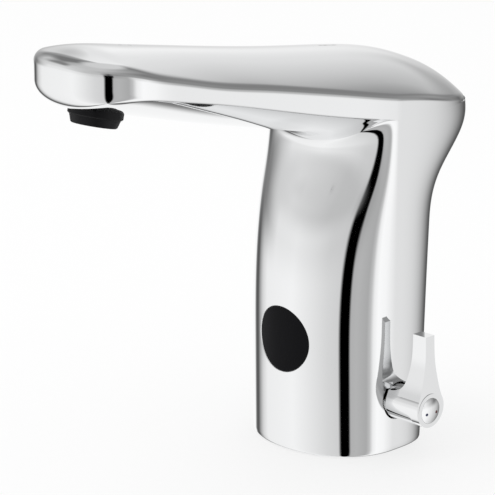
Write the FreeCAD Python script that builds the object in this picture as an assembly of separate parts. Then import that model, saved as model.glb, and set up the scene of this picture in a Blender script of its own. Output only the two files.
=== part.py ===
import FreeCAD, Part

import math
import os

from FreeCAD import Vector

# Sensor basin tap: a hollow chromed casting (pillar and spout), with a mixing valve, a solenoid
# valve and a sensor module inside, a temperature lever at its side and an aerator at its tip.
# Millimetres. The origin is on the deck under the pillar, +Z is up, the spout points to -Y and
# the lever is on the +X side.

os.makedirs("parts", exist_ok=True)

# ---------------------------------------------------------------- the casting's outer form
half_width = 30.0            # pillar and head, at their widest
front_power = 2.1            # nearly round front
back_power = 3.4             # squarer back
wall = 3.2
shoulder_height = 116.0      # where the pillar ends and the head begins
# height, depth of the front and depth of the back, both from the pillar's widest line
pillar_stations = (
    (0.0, 25.8, 24.7),
    (32.0, 26.5, 26.0),
    (shoulder_height - 54.0, 26.2, 27.2),
    (shoulder_height - 38.0, 24.2, 28.0),
    (shoulder_height - 27.0, 21.2, 29.6),
    (shoulder_height - 19.0, 18.0, 34.2),
    (shoulder_height - 11.0, 15.2, 42.4),
    (shoulder_height - 5.0, 13.8, 47.8),
    (shoulder_height, 13.2, 49.6),
)
spout_reach = 128.0          # from the widest line to the spout's tip
tip_length = 31.8            # where the sides turn into the tip
tip_start = spout_reach - tip_length
tip_half_width = 24.6
side_half_widths = ((22.0, 28.4), (62.0, 25.8))      # reach and half-width along the spout
tip_power = 2.7
crown_slope = 0.155          # rise of the ridge for each mm towards the tip
crown_rise = 25.2            # height of that rising line above the shoulder, over the widest line
# reach along the spout, height of the crown's ridge above the rising line, radius across
crown_stations = (
    (-54.0, -14.8, 39.5),
    (-46.0, -8.4, 39.5),
    (-38.0, -3.5, 39.5),
    (-29.0, -0.7, 39.5),
    (-19.0, 1.0, 39.5),
    (-6.0, 1.5, 39.5),
    (15.0, 0.8, 39.5),
    (40.0, 0.0, 39.5),
    (60.0, -0.2, 39.0),
    (80.0, -0.2, 38.0),
    (spout_reach - 32.5, -0.2, 39.5),
    (spout_reach - 22.5, -0.2, 42.0),
    (spout_reach - 12.5, -0.6, 62.0),
    (spout_reach - 2.5, -3.9, 90.0),
    (spout_reach + 5.5, -5.6, 160.0),
)
keel_slope = 0.25            # rise of the spout's underside for each mm towards the tip
keel_rise = -7.5             # height of that line above the shoulder, over the widest line
# reach along the spout, height of the keel above the rising line, radius across
keel_stations = (
    (-1.0, 2.05, 50.0),
    (20.0, 1.7, 49.0),
    (60.0, 0.4, 40.0),
    (80.0, 0.0, 38.0),
    (spout_reach - 28.5, 0.0, 40.0),
    (spout_reach + 3.5, 0.0, 41.0),
)
rim_radius = 4.0             # shoulder below the crown's edge
tip_round = 6.0              # lower edge of the tip
skirt = 26.0                 # how far the head's blank reaches below the shoulder
blank_height = 90.0          # the blank's whole height
crown_margin = 4.0           # of the crown's sections beside the head
neck_height = 8.0            # the stretch of the pillar's front that is shared with the head
spare = 10.0                 # how far the form of a cut reaches past what it cuts
through = 40.0               # length of a round cut that leaves its piece

# ---------------------------------------------------------------- inside of the casting
cavity_roof = 2.0            # below the shoulder
cavity_top = shoulder_height - cavity_roof
aerator_from_tip = 17.07
aerator_reach = spout_reach - aerator_from_tip
chamber_reach = 9.93         # from the aerator's axis back to the end of the outlet tube
tube_reach = aerator_reach - chamber_reach
# reach, height of the centre above the shoulder, half-width and half-height of the hollow
hollow_stations = (
    (-34.0, 1.6, 17.0, 5.6),
    (-20.0, 4.0, 20.0, 8.4),
    (20.0, 12.5, 19.0, 8.0),
    (60.0, 21.8, 15.5, 7.0),
    (tube_reach - 6.0, 30.0, 9.5, 5.2),
)
fit_gap = 0.05               # running and seating clearance of turned pieces
press_gap = 0.02             # between a sealing ring and its seat
disc_clearance = 0.1         # of the flat discs in the cartridge and of small fillers
loose_gap = 0.15
wide_gap = 0.3

# ---------------------------------------------------------------- temperature lever
lever_y = 2.2
lever_z = 18.6
stem_radius = 6.15
stem_hole_gap = 0.75
lever_hole_start = 20.0      # inside the pillar, clear of its far wall
hub_end = 45.5
blade_top = 45.7
blade_width = 4.4            # across, at the top
blade_depth = 6.0            # along the stem, at the top
blade_root = 30.5            # where the blade's inner face meets the stem
blade_lean = 1.0             # how far the top stands back from the hub's end
cap_radius = 4.6
cap_proud = 0.8
mark_radius = 0.55
mark_offset = 2.4
mark_drop = 0.8
mark_depth = 0.4             # below the hub's end
mark_proud = 0.576           # above it, just below the dome
cap_seat = 1.5               # how deep the cap sits in the hub
cap_gap = 0.1                # under the cap
hub_gap = 1.1                # between the nut's head and the lever
blade_shoulder = 0.8         # below the top of the stem, where the blade's inner curve ends
blade_overlap = 4.0          # of the blade's blank with the stem
screw_ledge = 3.2            # of the lever, between the spindle's end and the screw's head
screw_head_height = 2.2
screw_depth = 7.0            # of the lever's screw in the spindle
socket_share = 0.45          # of a screw's head, taken by its socket
socket_ledge = 0.8           # left under the socket

# ---------------------------------------------------------------- base plate
plate_thickness = 7.0
gasket_width = 2.4
gasket_height = 1.5
base_screw_places = ((0.0, -16.6), (0.0, 15.7))
base_screw_radius = 1.5
base_screw_head = 2.8
base_screw_recess = 0.4      # of the head in the plate
base_drive_share = 0.7       # of the screw's radius, taken by its socket
base_drive_depth = 1.2
lug_radius = 5.5
lug_height = 4.0
stud_place = (6.0, 2.2)
stud_hole_radius = 3.4       # M8 thread
grommet_place = (13.8, -12.6)
grommet_radius = 2.9
grommet_lip = 0.8
grommet_lip_height = 1.2
grommet_lip_taper = 0.4
grommet_recess = 0.6
cable_radius = 1.9

# ---------------------------------------------------------------- valve block
barrel_radius = 11.0
barrel_start = -19.0
barrel_end = 21.0
cartridge_radius = 8.5
cartridge_floor = -3.5
inlet_x = -10.5
inlet_spread = 8.5
inlet_hole_radius = 4.5      # M10 x 1 thread
inlet_length = 8.0
inlet_recess = 0.4
strainer_radius = 4.1        # of its seat behind the thread
strainer_height = 0.9
strainer_rim = 1.6
strainer_bar = 0.7
port_inset = 3.0             # of the cartridge's ports from its edge
inlet_port_shift = 1.5       # of the upright inlet passage towards the middle
passage_length = 10.0        # of each level passage behind the cartridge
spigot_radius = 6.0
spigot_overlap = 1.5
flange_start = 1.0           # of the flange behind the barrel's start
flange_end = 6.0             # and before the barrel's end
flange_top = 10.5
port_radius = 1.6
mixed_radius = 2.0           # passage out of the cartridge
mixed_length = 5.0
riser_shift = 3.2            # of the passage up to the solenoid valve
riser_radius = 1.9
riser_cover = 2.0            # below the boss's top
boss_radius = 9.8
boss_height = 11.0
boss_top = 36.0
chamber_radius = 7.0
chamber_depth = 3.0
seat_radius = 3.6
seat_clearance = 0.1         # of the valve's seat below the boss's top
outlet_bore = 2.0
outlet_level = 30.4
outlet_wall = 1.6
outlet_half_width = 4.0
bonnet_screw_offset = 13.3
bonnet_screw_radius = 1.25
bonnet_screw_depth = 5.5
bonnet_screw_head = 2.3
bonnet_head_height = 1.6
bonnet_slot_radius = 1.1
bonnet_slot_ledge = 0.9
ear_radius = 3.0
ear_height = 8.0

# ---------------------------------------------------------------- mixing cartridge, along +X
seal_thickness = 1.5
disc_thickness = 3.5
disc_gap = 0.05
pocket_depth = 1.6           # mixing pocket of the turning disc
pocket_half = 2.4
tongue_height = 1.2          # the bar that turns the disc
tongue_half = 1.5
tongue_reach = 5.0
sleeve_wall = 0.6
carrier_length = 4.0
spindle_radius = 4.5
spindle_seat_radius = 3.8
spindle_seat_flats = 6.0
spindle_end = 38.0
nut_head_radius = 9.6
nut_head_length = 2.5
nut_flat_share = 0.9         # of the nut's radius, to its flats
seat_step = 0.6              # from the nut's face to the spindle's seat
seat_play = 0.2
spindle_hole = 8.0           # depth of the screw's hole in the spindle
ring_section = 1.0
ring_first = 3.5             # from the carrier's end to each sealing ring
ring_second = 7.5
ring_play = 0.2
lever_screw_radius = 1.6
lever_screw_head = 3.2

# ---------------------------------------------------------------- solenoid valve, along +Z
diaphragm_thickness = 1.2
pilot_radius = 0.5
diaphragm_seat = 4.6         # radius of the thick middle
diaphragm_fold = 6.9         # radius of the thin flexing ring's outer edge
diaphragm_thin = 0.5
diaphragm_slant = 0.45
diaphragm_inset = 1.0        # from the boss's edge
bonnet_height = 3.8
core_radius = 4.5
core_wall = 0.5
core_length = 25.0
core_plug = 4.0
core_chamfer = 0.5
core_seat = 2.4              # from the bonnet's underside to the tube's foot
bonnet_ear_step = 1.0        # of the ears below the bonnet's top
plunger_length = 17.5
plunger_gap = 0.08
plunger_chamfer = 0.6
pad_thickness = 1.2
pad_inset = 0.8
plunger_travel = 1.5
spring_wire = 0.35
spring_turns = 5
spring_inset = 1.0           # of the wire's middle from the tube's wall
coil_radius = 9.0
bobbin_height = 20.0
bobbin_wall = 0.8
bobbin_flange = 1.0
bobbin_rim = 0.3
frame_gap = 0.4
frame_plate = 1.2
frame_width = 12.0

# ---------------------------------------------------------------- sensor module, along -Y
window_height = 40.8
window_hole_radius = 12.1
seal_ring_width = 0.4
window_recess = 0.3
seal_step = 0.1              # of the ring behind the window's face
window_back = -21.4
sensor_boss_radius = 16.0
sensor_boss_back = -18.5
sensor_flange_radius = 15.4
sensor_flange = 1.7
sensor_body_radius = 11.0
sensor_body_back = -11.2
sensor_shell = 1.0
lead_hole_place = -14.0
lead_hole_start = 20.0
lead_hole_length = 12.0
board_place = -14.6
board_thickness = 1.0
chip_half = 3.0
chip_height = 0.9
diode_offset = 4.5
diode_foot = 0.35
diode_foot_height = 0.9
emitter_radius = 1.5
emitter_length = 5.2
receiver_radius = 2.0
receiver_length = 5.0
sensor_screw_circle = 13.8
sensor_screw_radius = 0.9
sensor_screw_depth = 3.2
sensor_screw_play = 0.4
sensor_screw_head = 1.71
sensor_head_height = 1.2

# ---------------------------------------------------------------- outlet tube
tube_radius = 4.0
tube_bore = 2.8
tube_y = 16.6
tube_bend = 13.0
tube_foot = 32.6
tube_line = (20.0, shoulder_height + 12.5)    # reach and height of a point of its upper run
socket_start = 3.0           # of the tube's socket, inside the hollow
socket_depth = 1.0           # past the tube's end
tube_slope = 0.235
nipple_radius = 5.6
tube_ring_length = 1.6
upper_ring_length = 1.0
upper_ring_place = 0.2

# ---------------------------------------------------------------- aerator
aerator_depth = 1.66         # of its seat in the keel
aerator_tilt = 0.23
collar_radius = 9.13
collar_height = 3.26
thread_radius = 8.55
thread_length = 5.5
thread_chamfer = 0.4
collar_chamfer = 0.35
washer_thickness = 0.8
washer_play = 0.1
washer_inset = 0.2
chamber_bore = 6.4
chamber_top = 12.5
nozzle_top_radius = 8.5
nozzle_end_radius = 7.6
nozzle_height = 2.8
nozzle_bore = 5.6
nozzle_outlet = 5.0
nozzle_lip = 0.6             # flare of the outlet
nozzle_lip_height = 1.2
nozzle_chamfer = 0.3
nozzle_ledge = 1.0           # that carries the mesh
nozzle_skirt = 0.5           # end of the nozzle's sleeve above the housing's end
insert_radius = 6.8
mesh_thickness = 0.8
mesh_hole_radius = 0.55
mesh_pitch = 2.0
mesh_rings = ((1, 6), (2, 12))       # each ring's number and count of holes

X = Vector(1, 0, 0)
Y = Vector(0, 1, 0)
Z = Vector(0, 0, 1)


# ================================================================ helpers
def rod(start, axis, radius, length):
    return Part.makeCylinder(radius, length, start, axis)


def tube(start, axis, outer, inner, length):
    return rod(start, axis, outer, length).cut(rod(start, axis, inner, length))


def block(low, high):
    size = high - low
    return Part.makeBox(size.x, size.y, size.z, low)


def turned(profile, start, axis):
    """A revolved piece: profile is a list of (distance along the axis, radius)."""
    points = [Vector(radius, 0, along) for along, radius in profile]
    solid = Part.Face(Part.makePolygon(points + points[:1])).revolve(Vector(), Z, 360)
    solid = Part.Solid(solid) if solid.ShapeType == "Shell" else solid
    solid.Placement = FreeCAD.Placement(start, FreeCAD.Rotation(Z, axis))
    return solid


def smooth_edge(points, first_direction, last_direction, parameters=None):
    curve = Part.BSplineCurve()
    tangents = {"InitialTangent": first_direction, "FinalTangent": last_direction}
    if parameters:
        curve.interpolate(Points=points, Parameters=parameters, **tangents)
    else:
        curve.interpolate(Points=points, **tangents)
    return curve.toShape()


def smooth_loft(outlines):
    return Part.makeLoft(outlines, True, False, False, 3)


def half_points(width, depth, power, z, steps=10):
    """Points of half an outline, from (-width, 0) over (0, depth) to (width, 0), a superellipse."""
    points = []
    for step in range(steps + 1):
        angle = math.pi * (1 - step / steps)
        across = math.cos(angle)
        along = max(0.0, math.sin(angle))
        x = math.copysign(abs(across) ** (2 / power), across) * width
        points.append(Vector(x, depth * along ** (2 / power), z))
    points[0] = Vector(-width, 0, z)
    points[-1] = Vector(width, 0, z)
    return points


def rounded_half(width, depth, power, z):
    """Half an outline; all halves of one power share their spacing along the curve."""
    outward = Y * math.copysign(1, depth)
    guide = half_points(half_width, half_width, power, 0)
    parameters = [0.0]
    for start, end in zip(guide, guide[1:]):
        parameters.append(parameters[-1] + start.distanceToPoint(end))
    points = half_points(width, depth, power, z)
    return smooth_edge(points, outward, outward * -1, parameters)


def pillar_outline(z, front, back, inset=0.0):
    front_edge = rounded_half(half_width - inset, inset - front, front_power, z)
    back_edge = rounded_half(half_width - inset, back - inset, back_power, z)
    return Part.Wire([front_edge, back_edge])


def pillar_form(inset=0.0, low=None, high=None):
    """The pillar's loft, drawn in by inset, with straight ends to the heights low and high."""
    outlines = [pillar_outline(z, front, back, inset) for z, front, back in pillar_stations]
    if inset == 0.0:
        front_edge = rounded_half(half_width, -pillar_stations[-1][1], front_power, shoulder_height)
        outlines[-1] = Part.Wire([front_edge, head_outline(shoulder_height)[0]])
    form = smooth_loft(outlines)
    if low is not None:
        foot = pillar_outline(low, pillar_stations[0][1], pillar_stations[0][2], inset)
        form = form.fuse(Part.Face(foot).extrude(Z * (pillar_stations[0][0] - low)))
    if high is not None:
        reach = half_width * 4
        form = form.cut(block(Vector(-reach, -reach, high), Vector(reach, reach, high + reach)))
    return form


# ================================================================ the casting
def head_outline(z):
    """The head seen from above, one closed curve cut into its back, its sides and its tip."""
    back = half_points(half_width, pillar_stations[-1][2], back_power, z)
    right = [Vector(width, -reach, z) for reach, width in side_half_widths]
    left = [Vector(-point.x, point.y, z) for point in reversed(right)]
    tip = [
        Vector(-point.x, point.y - tip_start, z)
        for point in half_points(tip_half_width, tip_start - spout_reach, tip_power, z, 8)
    ]
    curve = Part.BSplineCurve()
    curve.interpolate(Points=back + right + tip + left, PeriodicFlag=True)
    cuts = [curve.parameter(point) for point in (back[-1], right[1], tip[0], tip[-1], left[0])]
    cuts = [curve.FirstParameter] + cuts + [curve.LastParameter]
    return [curve.toShape(start, end) for start, end in zip(cuts, cuts[1:])]


def arc_section(reach, centre_z, radius, rises, floor):
    """A section across the spout, from the height floor up to an arc that rises or falls."""
    reach_x = half_width + crown_margin
    drop = radius - math.sqrt(radius ** 2 - reach_x ** 2)
    edge_z = centre_z + drop if rises else centre_z - drop
    low_left = Vector(-reach_x, -reach, floor)
    low_right = Vector(reach_x, -reach, floor)
    high_right = Vector(reach_x, -reach, edge_z)
    high_left = Vector(-reach_x, -reach, edge_z)
    arc = Part.Arc(high_right, Vector(0, -reach, centre_z), high_left).toShape()
    return Part.Wire([
        Part.makeLine(low_left, low_right),
        Part.makeLine(low_right, high_right),
        arc,
        Part.makeLine(high_left, low_left),
    ])


def crown_height(reach, above):
    return shoulder_height + crown_rise + crown_slope * reach + above


def keel_height(reach, above=0.0):
    return shoulder_height + keel_rise + keel_slope * reach + above


def head_form():
    low = shoulder_height - skirt
    top = smooth_loft([
        arc_section(reach, crown_height(reach, above), radius, False, low - spare / 2)
        for reach, above, radius in crown_stations
    ])
    head = Part.Face(Part.Wire(head_outline(low))).extrude(Z * blank_height).common(top)
    crown = max(head.Faces, key=lambda face: face.CenterOfMass.z)
    head = head.makeFillet(rim_radius, crown.Edges)
    keel = smooth_loft([
        arc_section(reach, keel_height(reach, above), radius, True, low - spare)
        for reach, above, radius in keel_stations
    ])
    beside = half_width * 2
    keel_start = block(Vector(-beside, 0, low - spare), Vector(beside, beside, shoulder_height))
    front_of_widest = block(
        Vector(-beside, -spout_reach - spare, low - spare), Vector(beside, 0, shoulder_height * 2)
    )
    head = head.cut(keel.common(front_of_widest)).cut(keel_start)
    return head.cut(tip_corner())


def tip_corner():
    """What is cut away outside the rounded lower edge of the tip."""
    slope = math.atan(keel_slope)
    centre_y = tip_round - spout_reach
    centre_z = keel_height(-centre_y) + tip_round / math.cos(slope)
    touch_y = centre_y + tip_round * math.sin(slope)
    touch_z = centre_z - tip_round * math.cos(slope)
    side = half_width * 2
    outside = -spout_reach - spare / 2
    corner = [
        Vector(-side, outside, centre_z),
        Vector(-side, centre_y, centre_z),
        Vector(-side, touch_y, touch_z),
        Vector(-side, touch_y, touch_z - spare),
        Vector(-side, outside, touch_z - spare),
    ]
    wedge = Part.Face(Part.makePolygon(corner + corner[:1])).extrude(X * side * 2)
    return wedge.cut(rod(Vector(-side, centre_y, centre_z), X, tip_round, side * 2))


def spout_hollow():
    outlines = []
    for reach, rise, across, high in hollow_stations:
        ellipse = Part.Ellipse(Vector(), across, high)
        edge = ellipse.toShape()
        edge.Placement = FreeCAD.Placement(
            Vector(0, -reach, shoulder_height + rise), FreeCAD.Rotation(X, 90)
        )
        outlines.append(Part.Wire([edge]))
    return Part.makeLoft(outlines, True, True)


def tube_direction():
    return Vector(0, -1, tube_slope).normalize()


def tube_point(reach):
    return Vector(0, -reach, tube_line[1] + tube_slope * (reach - tube_line[0]))


def aerator_axis():
    return Vector(0, -math.sin(aerator_tilt), -math.cos(aerator_tilt))


def aerator_point(below):
    """A point on the aerator's axis, at a distance below its seat in the spout."""
    seat_height = keel_height(aerator_reach) + aerator_depth
    return Vector(0, -aerator_reach, seat_height) + aerator_axis() * below


def window_form(radius, recess):
    """A plug through the pillar's front, whose face follows the front, set back by recess."""
    plug = rod(Vector(0, window_back, window_height), Y * -1, radius, through)
    return plug.common(pillar_form(inset=recess))


def lug_places():
    return [Vector(x, y, plate_thickness) for x, y in base_screw_places]


def body_casting():
    neck_outline = Part.Wire([
        rounded_half(half_width, -pillar_stations[-1][1], front_power, shoulder_height),
        Part.makeLine(Vector(half_width, 0, shoulder_height), Vector(-half_width, 0, shoulder_height)),
    ])
    neck = Part.Face(neck_outline).extrude(Z * neck_height)
    outer = pillar_form()
    cavity = pillar_form(inset=wall, low=-spare, high=cavity_top)
    sensor_boss = rod(
        Vector(0, sensor_boss_back, window_height), Y * -1, sensor_boss_radius, through
    ).common(outer)
    lugs = []
    for place in lug_places():
        outward = Y * math.copysign(half_width, place.y)
        low = Vector(place.x - lug_radius, min(place.y, place.y + outward.y), place.z)
        high = Vector(place.x + lug_radius, max(place.y, place.y + outward.y), place.z + lug_height)
        lug = rod(place, Z, lug_radius, lug_height).fuse(block(low, high))
        lugs.append(lug.common(outer))
    shell = outer.fuse([head_form(), neck]).removeSplitter()
    shell = shell.cut([cavity, spout_hollow()])
    shell = shell.fuse([sensor_boss] + lugs)
    socket = tube_point(hollow_stations[-1][0] - socket_start)
    seat_depth = thread_length + washer_thickness + washer_play
    holes = [
        rod(Vector(0, -spare, window_height), Y * -1, window_hole_radius, through),
        rod(Vector(lever_hole_start, lever_y, lever_z), X, stem_radius + stem_hole_gap, through),
        rod(aerator_point(spare), aerator_axis() * -1, collar_radius + loose_gap, spare),
        rod(aerator_point(1), aerator_axis() * -1, thread_radius + fit_gap, seat_depth + 1),
        rod(aerator_point(-seat_depth + 1), aerator_axis() * -1, chamber_bore,
            chamber_top - seat_depth + 1),
        rod(socket, tube_direction(), tube_radius + fit_gap,
            tube_reach + socket_start + socket_depth - hollow_stations[-1][0]),
        rod(socket, tube_direction(), tube_radius + ring_section + fit_gap,
            tube_ring_length + socket_start),
    ]
    holes += [rod(place, Z, base_screw_radius + fit_gap, lug_height + 1) for place in lug_places()]
    holes += [
        rod(place, Y * -1, sensor_screw_radius + fit_gap, sensor_screw_depth + sensor_screw_play)
        for place in sensor_screw_places(0)
    ]
    return shell.cut(holes)


# ================================================================ base plate
def base_outline(inset, z):
    return pillar_outline(z, pillar_stations[0][1], pillar_stations[0][2], inset)


def inlet_places():
    return [Vector(inlet_x, lever_y + side * inlet_spread, inlet_recess) for side in (-1, 1)]


def base_plate():
    edge = wall + loose_gap
    plate = Part.Face(base_outline(edge, 0)).extrude(Z * plate_thickness)
    core = Part.Face(base_outline(wall + gasket_width, 0)).extrude(Z * plate_thickness)
    rebate = plate.cut(core).common(
        block(Vector(-through, -through, -1), Vector(through, through, gasket_height + loose_gap))
    )
    plate = plate.cut(rebate)
    holes = [rod(place - Z, Z, spigot_radius + loose_gap, through) for place in inlet_places()]
    holes.append(rod(Vector(*stud_place, -1), Z, stud_hole_radius, through))
    holes.append(rod(Vector(*grommet_place, -1), Z, grommet_radius, through))
    for x, y in base_screw_places:
        holes.append(rod(Vector(x, y, -1), Z, base_screw_radius + loose_gap, through))
        sink = base_screw_head - base_screw_radius
        holes.append(Part.makeCone(
            base_screw_head + loose_gap, base_screw_radius + loose_gap, sink,
            Vector(x, y, base_screw_recess)
        ))
        holes.append(rod(Vector(x, y, -1), Z, base_screw_head + loose_gap, base_screw_recess + 1))
    return plate.cut(holes)


def base_gasket():
    outer = Part.Face(base_outline(wall + loose_gap, 0)).extrude(Z * gasket_height)
    inner = Part.Face(base_outline(wall + gasket_width, 0)).extrude(Z * gasket_height)
    return outer.cut(inner)


def base_screws():
    screws = []
    for x, y in base_screw_places:
        sink = base_screw_head - base_screw_radius
        foot = Vector(x, y, base_screw_recess)
        head = Part.makeCone(base_screw_head, base_screw_radius, sink, foot)
        shank = rod(foot, Z, base_screw_radius, plate_thickness + lug_height - 1)
        drive = rod(Vector(x, y, 0), Z, base_screw_radius * base_drive_share, base_drive_depth)
        screws.append(head.fuse(shank).cut(drive))
    return Part.makeCompound(screws)


def cable_grommet():
    x, y = grommet_place
    lip = grommet_radius + grommet_lip
    top = plate_thickness + grommet_lip_height
    profile = [
        (grommet_recess, cable_radius), (grommet_recess, grommet_radius),
        (plate_thickness, grommet_radius), (plate_thickness, lip),
        (top, lip - grommet_lip_taper), (top, cable_radius),
    ]
    return turned(profile, Vector(x, y, 0), Z)


# ================================================================ valve block
def barrel_point(x):
    return Vector(x, lever_y, lever_z)


def solenoid_point(z):
    return Vector(0, lever_y, z)


def valve_block():
    flange = block(
        Vector(barrel_start + flange_start, lever_y - barrel_radius + wide_gap, plate_thickness),
        Vector(barrel_end - flange_end, lever_y + barrel_radius, flange_top),
    )
    flange = flange.cut([
        rod(place, Z, lug_radius + wide_gap, lug_height + 1) for place in lug_places()
    ])
    solids = [rod(barrel_point(barrel_start), X, barrel_radius, barrel_end - barrel_start)]
    solids += [
        rod(place, Z, spigot_radius, flange_top - inlet_recess + spigot_overlap)
        for place in inlet_places()
    ]
    solids.append(rod(solenoid_point(boss_top - boss_height), Z, boss_radius, boss_height))
    solids.append(bonnet_ears(boss_top - ear_height, ear_height))
    nipple_foot = outlet_level - outlet_bore - outlet_wall
    outlet_top = outlet_level + outlet_bore + outlet_wall
    solids.append(rod(Vector(0, tube_y, nipple_foot), Z, nipple_radius, boss_top - nipple_foot))
    solids.append(block(
        Vector(-outlet_half_width, lever_y, nipple_foot), Vector(outlet_half_width, tube_y, outlet_top)
    ))
    body = flange.fuse(solids)
    chamber = tube(
        solenoid_point(boss_top - chamber_depth), Z, chamber_radius, seat_radius, chamber_depth
    )
    riser = barrel_point(cartridge_floor - riser_shift)
    holes = [
        rod(barrel_point(cartridge_floor), X, cartridge_radius, through),
        chamber,
        rod(solenoid_point(boss_top - seat_clearance), Z, seat_radius + 1, spare),
        rod(solenoid_point(outlet_level), Z, outlet_bore, through),
        rod(solenoid_point(outlet_level), Y, outlet_bore, tube_y - lever_y),
        rod(Vector(0, tube_y, outlet_level), Z, tube_bore, through),
        rod(Vector(0, tube_y, tube_foot - loose_gap), Z, tube_radius + fit_gap, through),
        rod(Vector(0, tube_y, boss_top - tube_ring_length), Z,
            tube_radius + ring_section + fit_gap, through),
        rod(barrel_point(cartridge_floor - mixed_length), X, mixed_radius, mixed_length + 1),
        rod(riser, Z, riser_radius, boss_top - riser_cover - lever_z),
    ]
    for side, place in zip((-1, 1), inlet_places()):
        port = side * (cartridge_radius - port_inset)
        holes.append(rod(place - Z, Z, inlet_hole_radius, inlet_length + 1))
        holes.append(rod(strainer_place(place), Z, strainer_radius, strainer_height + loose_gap))
        holes.append(rod(
            place - Y * (side * inlet_port_shift), Z, port_radius, lever_z + 1 - inlet_recess
        ))
        holes.append(rod(
            Vector(inlet_x - port_radius, lever_y + port, lever_z), X, port_radius, passage_length
        ))
        holes.append(rod(
            bonnet_screw_place(side, boss_top - bonnet_screw_depth - disc_clearance), Z,
            bonnet_screw_radius + fit_gap, through,
        ))
    return body.cut(holes)


def strainer_place(inlet):
    """The seat behind the inlet's thread."""
    return inlet + Z * inlet_length


def bonnet_screw_place(side, z):
    return solenoid_point(z) + X * (side * bonnet_screw_offset)


def inlet_strainers():
    """Round strainers, each a rim with three crossing bars, behind the two inlets' threads."""
    strainers = []
    rim = strainer_radius - fit_gap
    for inlet in inlet_places():
        place = strainer_place(inlet) + Z * loose_gap
        strainer = tube(place, Z, rim, rim - strainer_rim, strainer_height)
        long_bar = Vector(rim - strainer_rim / 2, strainer_bar / 2, 0)
        cross = block(long_bar * -1, long_bar + Z * strainer_height)
        for angle in (0, 60, 120):
            bar = cross.copy()
            bar.Placement = FreeCAD.Placement(place, FreeCAD.Rotation(Z, angle))
            strainer = strainer.fuse(bar)
        strainers.append(strainer)
    return Part.makeCompound(strainers)


# ================================================================ mixing cartridge
fixed_start = cartridge_floor + seal_thickness
turning_start = fixed_start + disc_thickness + disc_gap
carrier_start = turning_start + disc_thickness
carrier_end = carrier_start + carrier_length
disc_radius = cartridge_radius - fit_gap - sleeve_wall - fit_gap


def port_places(x):
    offset = cartridge_radius - port_inset
    return [barrel_point(x) + Y * shift for shift in (-offset, 0, offset)]


def cartridge_seal():
    radius = cartridge_radius - disc_clearance
    disc = rod(barrel_point(cartridge_floor), X, radius, seal_thickness)
    return disc.cut([
        rod(place, X, port_radius + disc_clearance, seal_thickness)
        for place in port_places(cartridge_floor)
    ])


def fixed_disc():
    disc = rod(barrel_point(fixed_start), X, disc_radius, disc_thickness)
    return disc.cut([
        rod(place, X, port_radius, disc_thickness) for place in port_places(fixed_start)
    ])


def turning_disc():
    """The disc that turns with the lever, with the mixing pocket and the driving slot."""
    disc = rod(barrel_point(turning_start), X, disc_radius - disc_clearance, disc_thickness)
    half = cartridge_radius - port_inset + port_radius
    pocket = block(
        Vector(turning_start, lever_y - half, lever_z - pocket_half),
        Vector(turning_start + pocket_depth, lever_y + half, lever_z + pocket_half),
    )
    return disc.cut([pocket, drive_tongue(fit_gap)])


def drive_tongue(grow):
    """The bar on the spindle that turns the disc."""
    half = Vector(0, tongue_half + grow, tongue_reach + grow)
    start = barrel_point(carrier_start - tongue_height - grow)
    return block(start - half, barrel_point(carrier_start) + half)


def cartridge_sleeve():
    return tube(
        barrel_point(fixed_start), X, cartridge_radius - fit_gap, disc_radius + fit_gap,
        carrier_end + disc_gap - fixed_start,
    )


def ring_places():
    return [carrier_end + ring_first, carrier_end + ring_second]


def spindle():
    seat_start = barrel_end + nut_head_length + seat_step
    solid = rod(barrel_point(carrier_start), X, disc_radius - disc_clearance, carrier_length)
    shaft = rod(barrel_point(carrier_end), X, spindle_radius, seat_start - carrier_end)
    seat = spindle_seat(seat_start, spindle_end, 0)
    solid = solid.fuse([shaft, seat, drive_tongue(0)])
    groove_foot = spindle_radius - ring_section
    grooves = [
        tube(barrel_point(x), X, spindle_radius + 1, groove_foot, ring_section + ring_play)
        for x in ring_places()
    ]
    hole_start = barrel_point(spindle_end - spindle_hole)
    return solid.cut(grooves + [rod(hole_start, X, lever_screw_radius + fit_gap, through)])


def spindle_seat(start, end, grow):
    """The spindle's end that carries the lever: round, with two flats."""
    half = spindle_seat_flats / 2 + grow
    seat = rod(barrel_point(start), X, spindle_seat_radius + grow, end - start)
    corner = Vector(0, barrel_radius, half)
    return seat.common(block(barrel_point(start) - corner, barrel_point(end) + corner))


def spindle_rings():
    rings = []
    for x in ring_places():
        rings.append(tube(
            barrel_point(x + ring_play / 2), X, spindle_radius + fit_gap / 2,
            spindle_radius - ring_section, ring_section,
        ))
    return Part.makeCompound(rings)


def cartridge_nut():
    start = carrier_end + disc_gap
    sleeve = rod(barrel_point(start), X, cartridge_radius - fit_gap, barrel_end - start)
    head = rod(barrel_point(barrel_end), X, nut_head_radius, nut_head_length)
    flats = []
    for angle in range(0, 360, 60):
        flat = block(Vector(0, -nut_head_radius, nut_head_radius * nut_flat_share),
                     Vector(nut_head_length, nut_head_radius, nut_head_radius * 2))
        flat.Placement = FreeCAD.Placement(barrel_point(barrel_end), FreeCAD.Rotation(X, angle))
        flats.append(flat)
    bore = rod(barrel_point(start), X, spindle_radius + fit_gap, through)
    return sleeve.fuse(head.cut(flats)).cut(bore)


# ================================================================ temperature lever
def lever():
    """Round stem and hub, with a blade that flares out of the hub like a drop."""
    start = barrel_end + nut_head_length + hub_gap
    stem = rod(barrel_point(start), X, stem_radius, hub_end - start)
    blade = drop_outline().extrude(X * (hub_end - blade_root + blade_overlap))
    blade.translate(barrel_point(blade_root - blade_overlap))
    solid = stem.fuse(blade.cut([blade_scoop(), blade_front()])).removeSplitter()
    return solid.cut([
        spindle_seat(start - 1, spindle_end + seat_play, fit_gap),
        rod(barrel_point(spindle_end), X, lever_screw_radius + loose_gap, through),
        rod(barrel_point(spindle_end + screw_ledge), X, lever_screw_head + seat_play, through),
        rod(barrel_point(hub_end - cap_seat - cap_gap), X, cap_radius + fit_gap, through),
    ])


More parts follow.
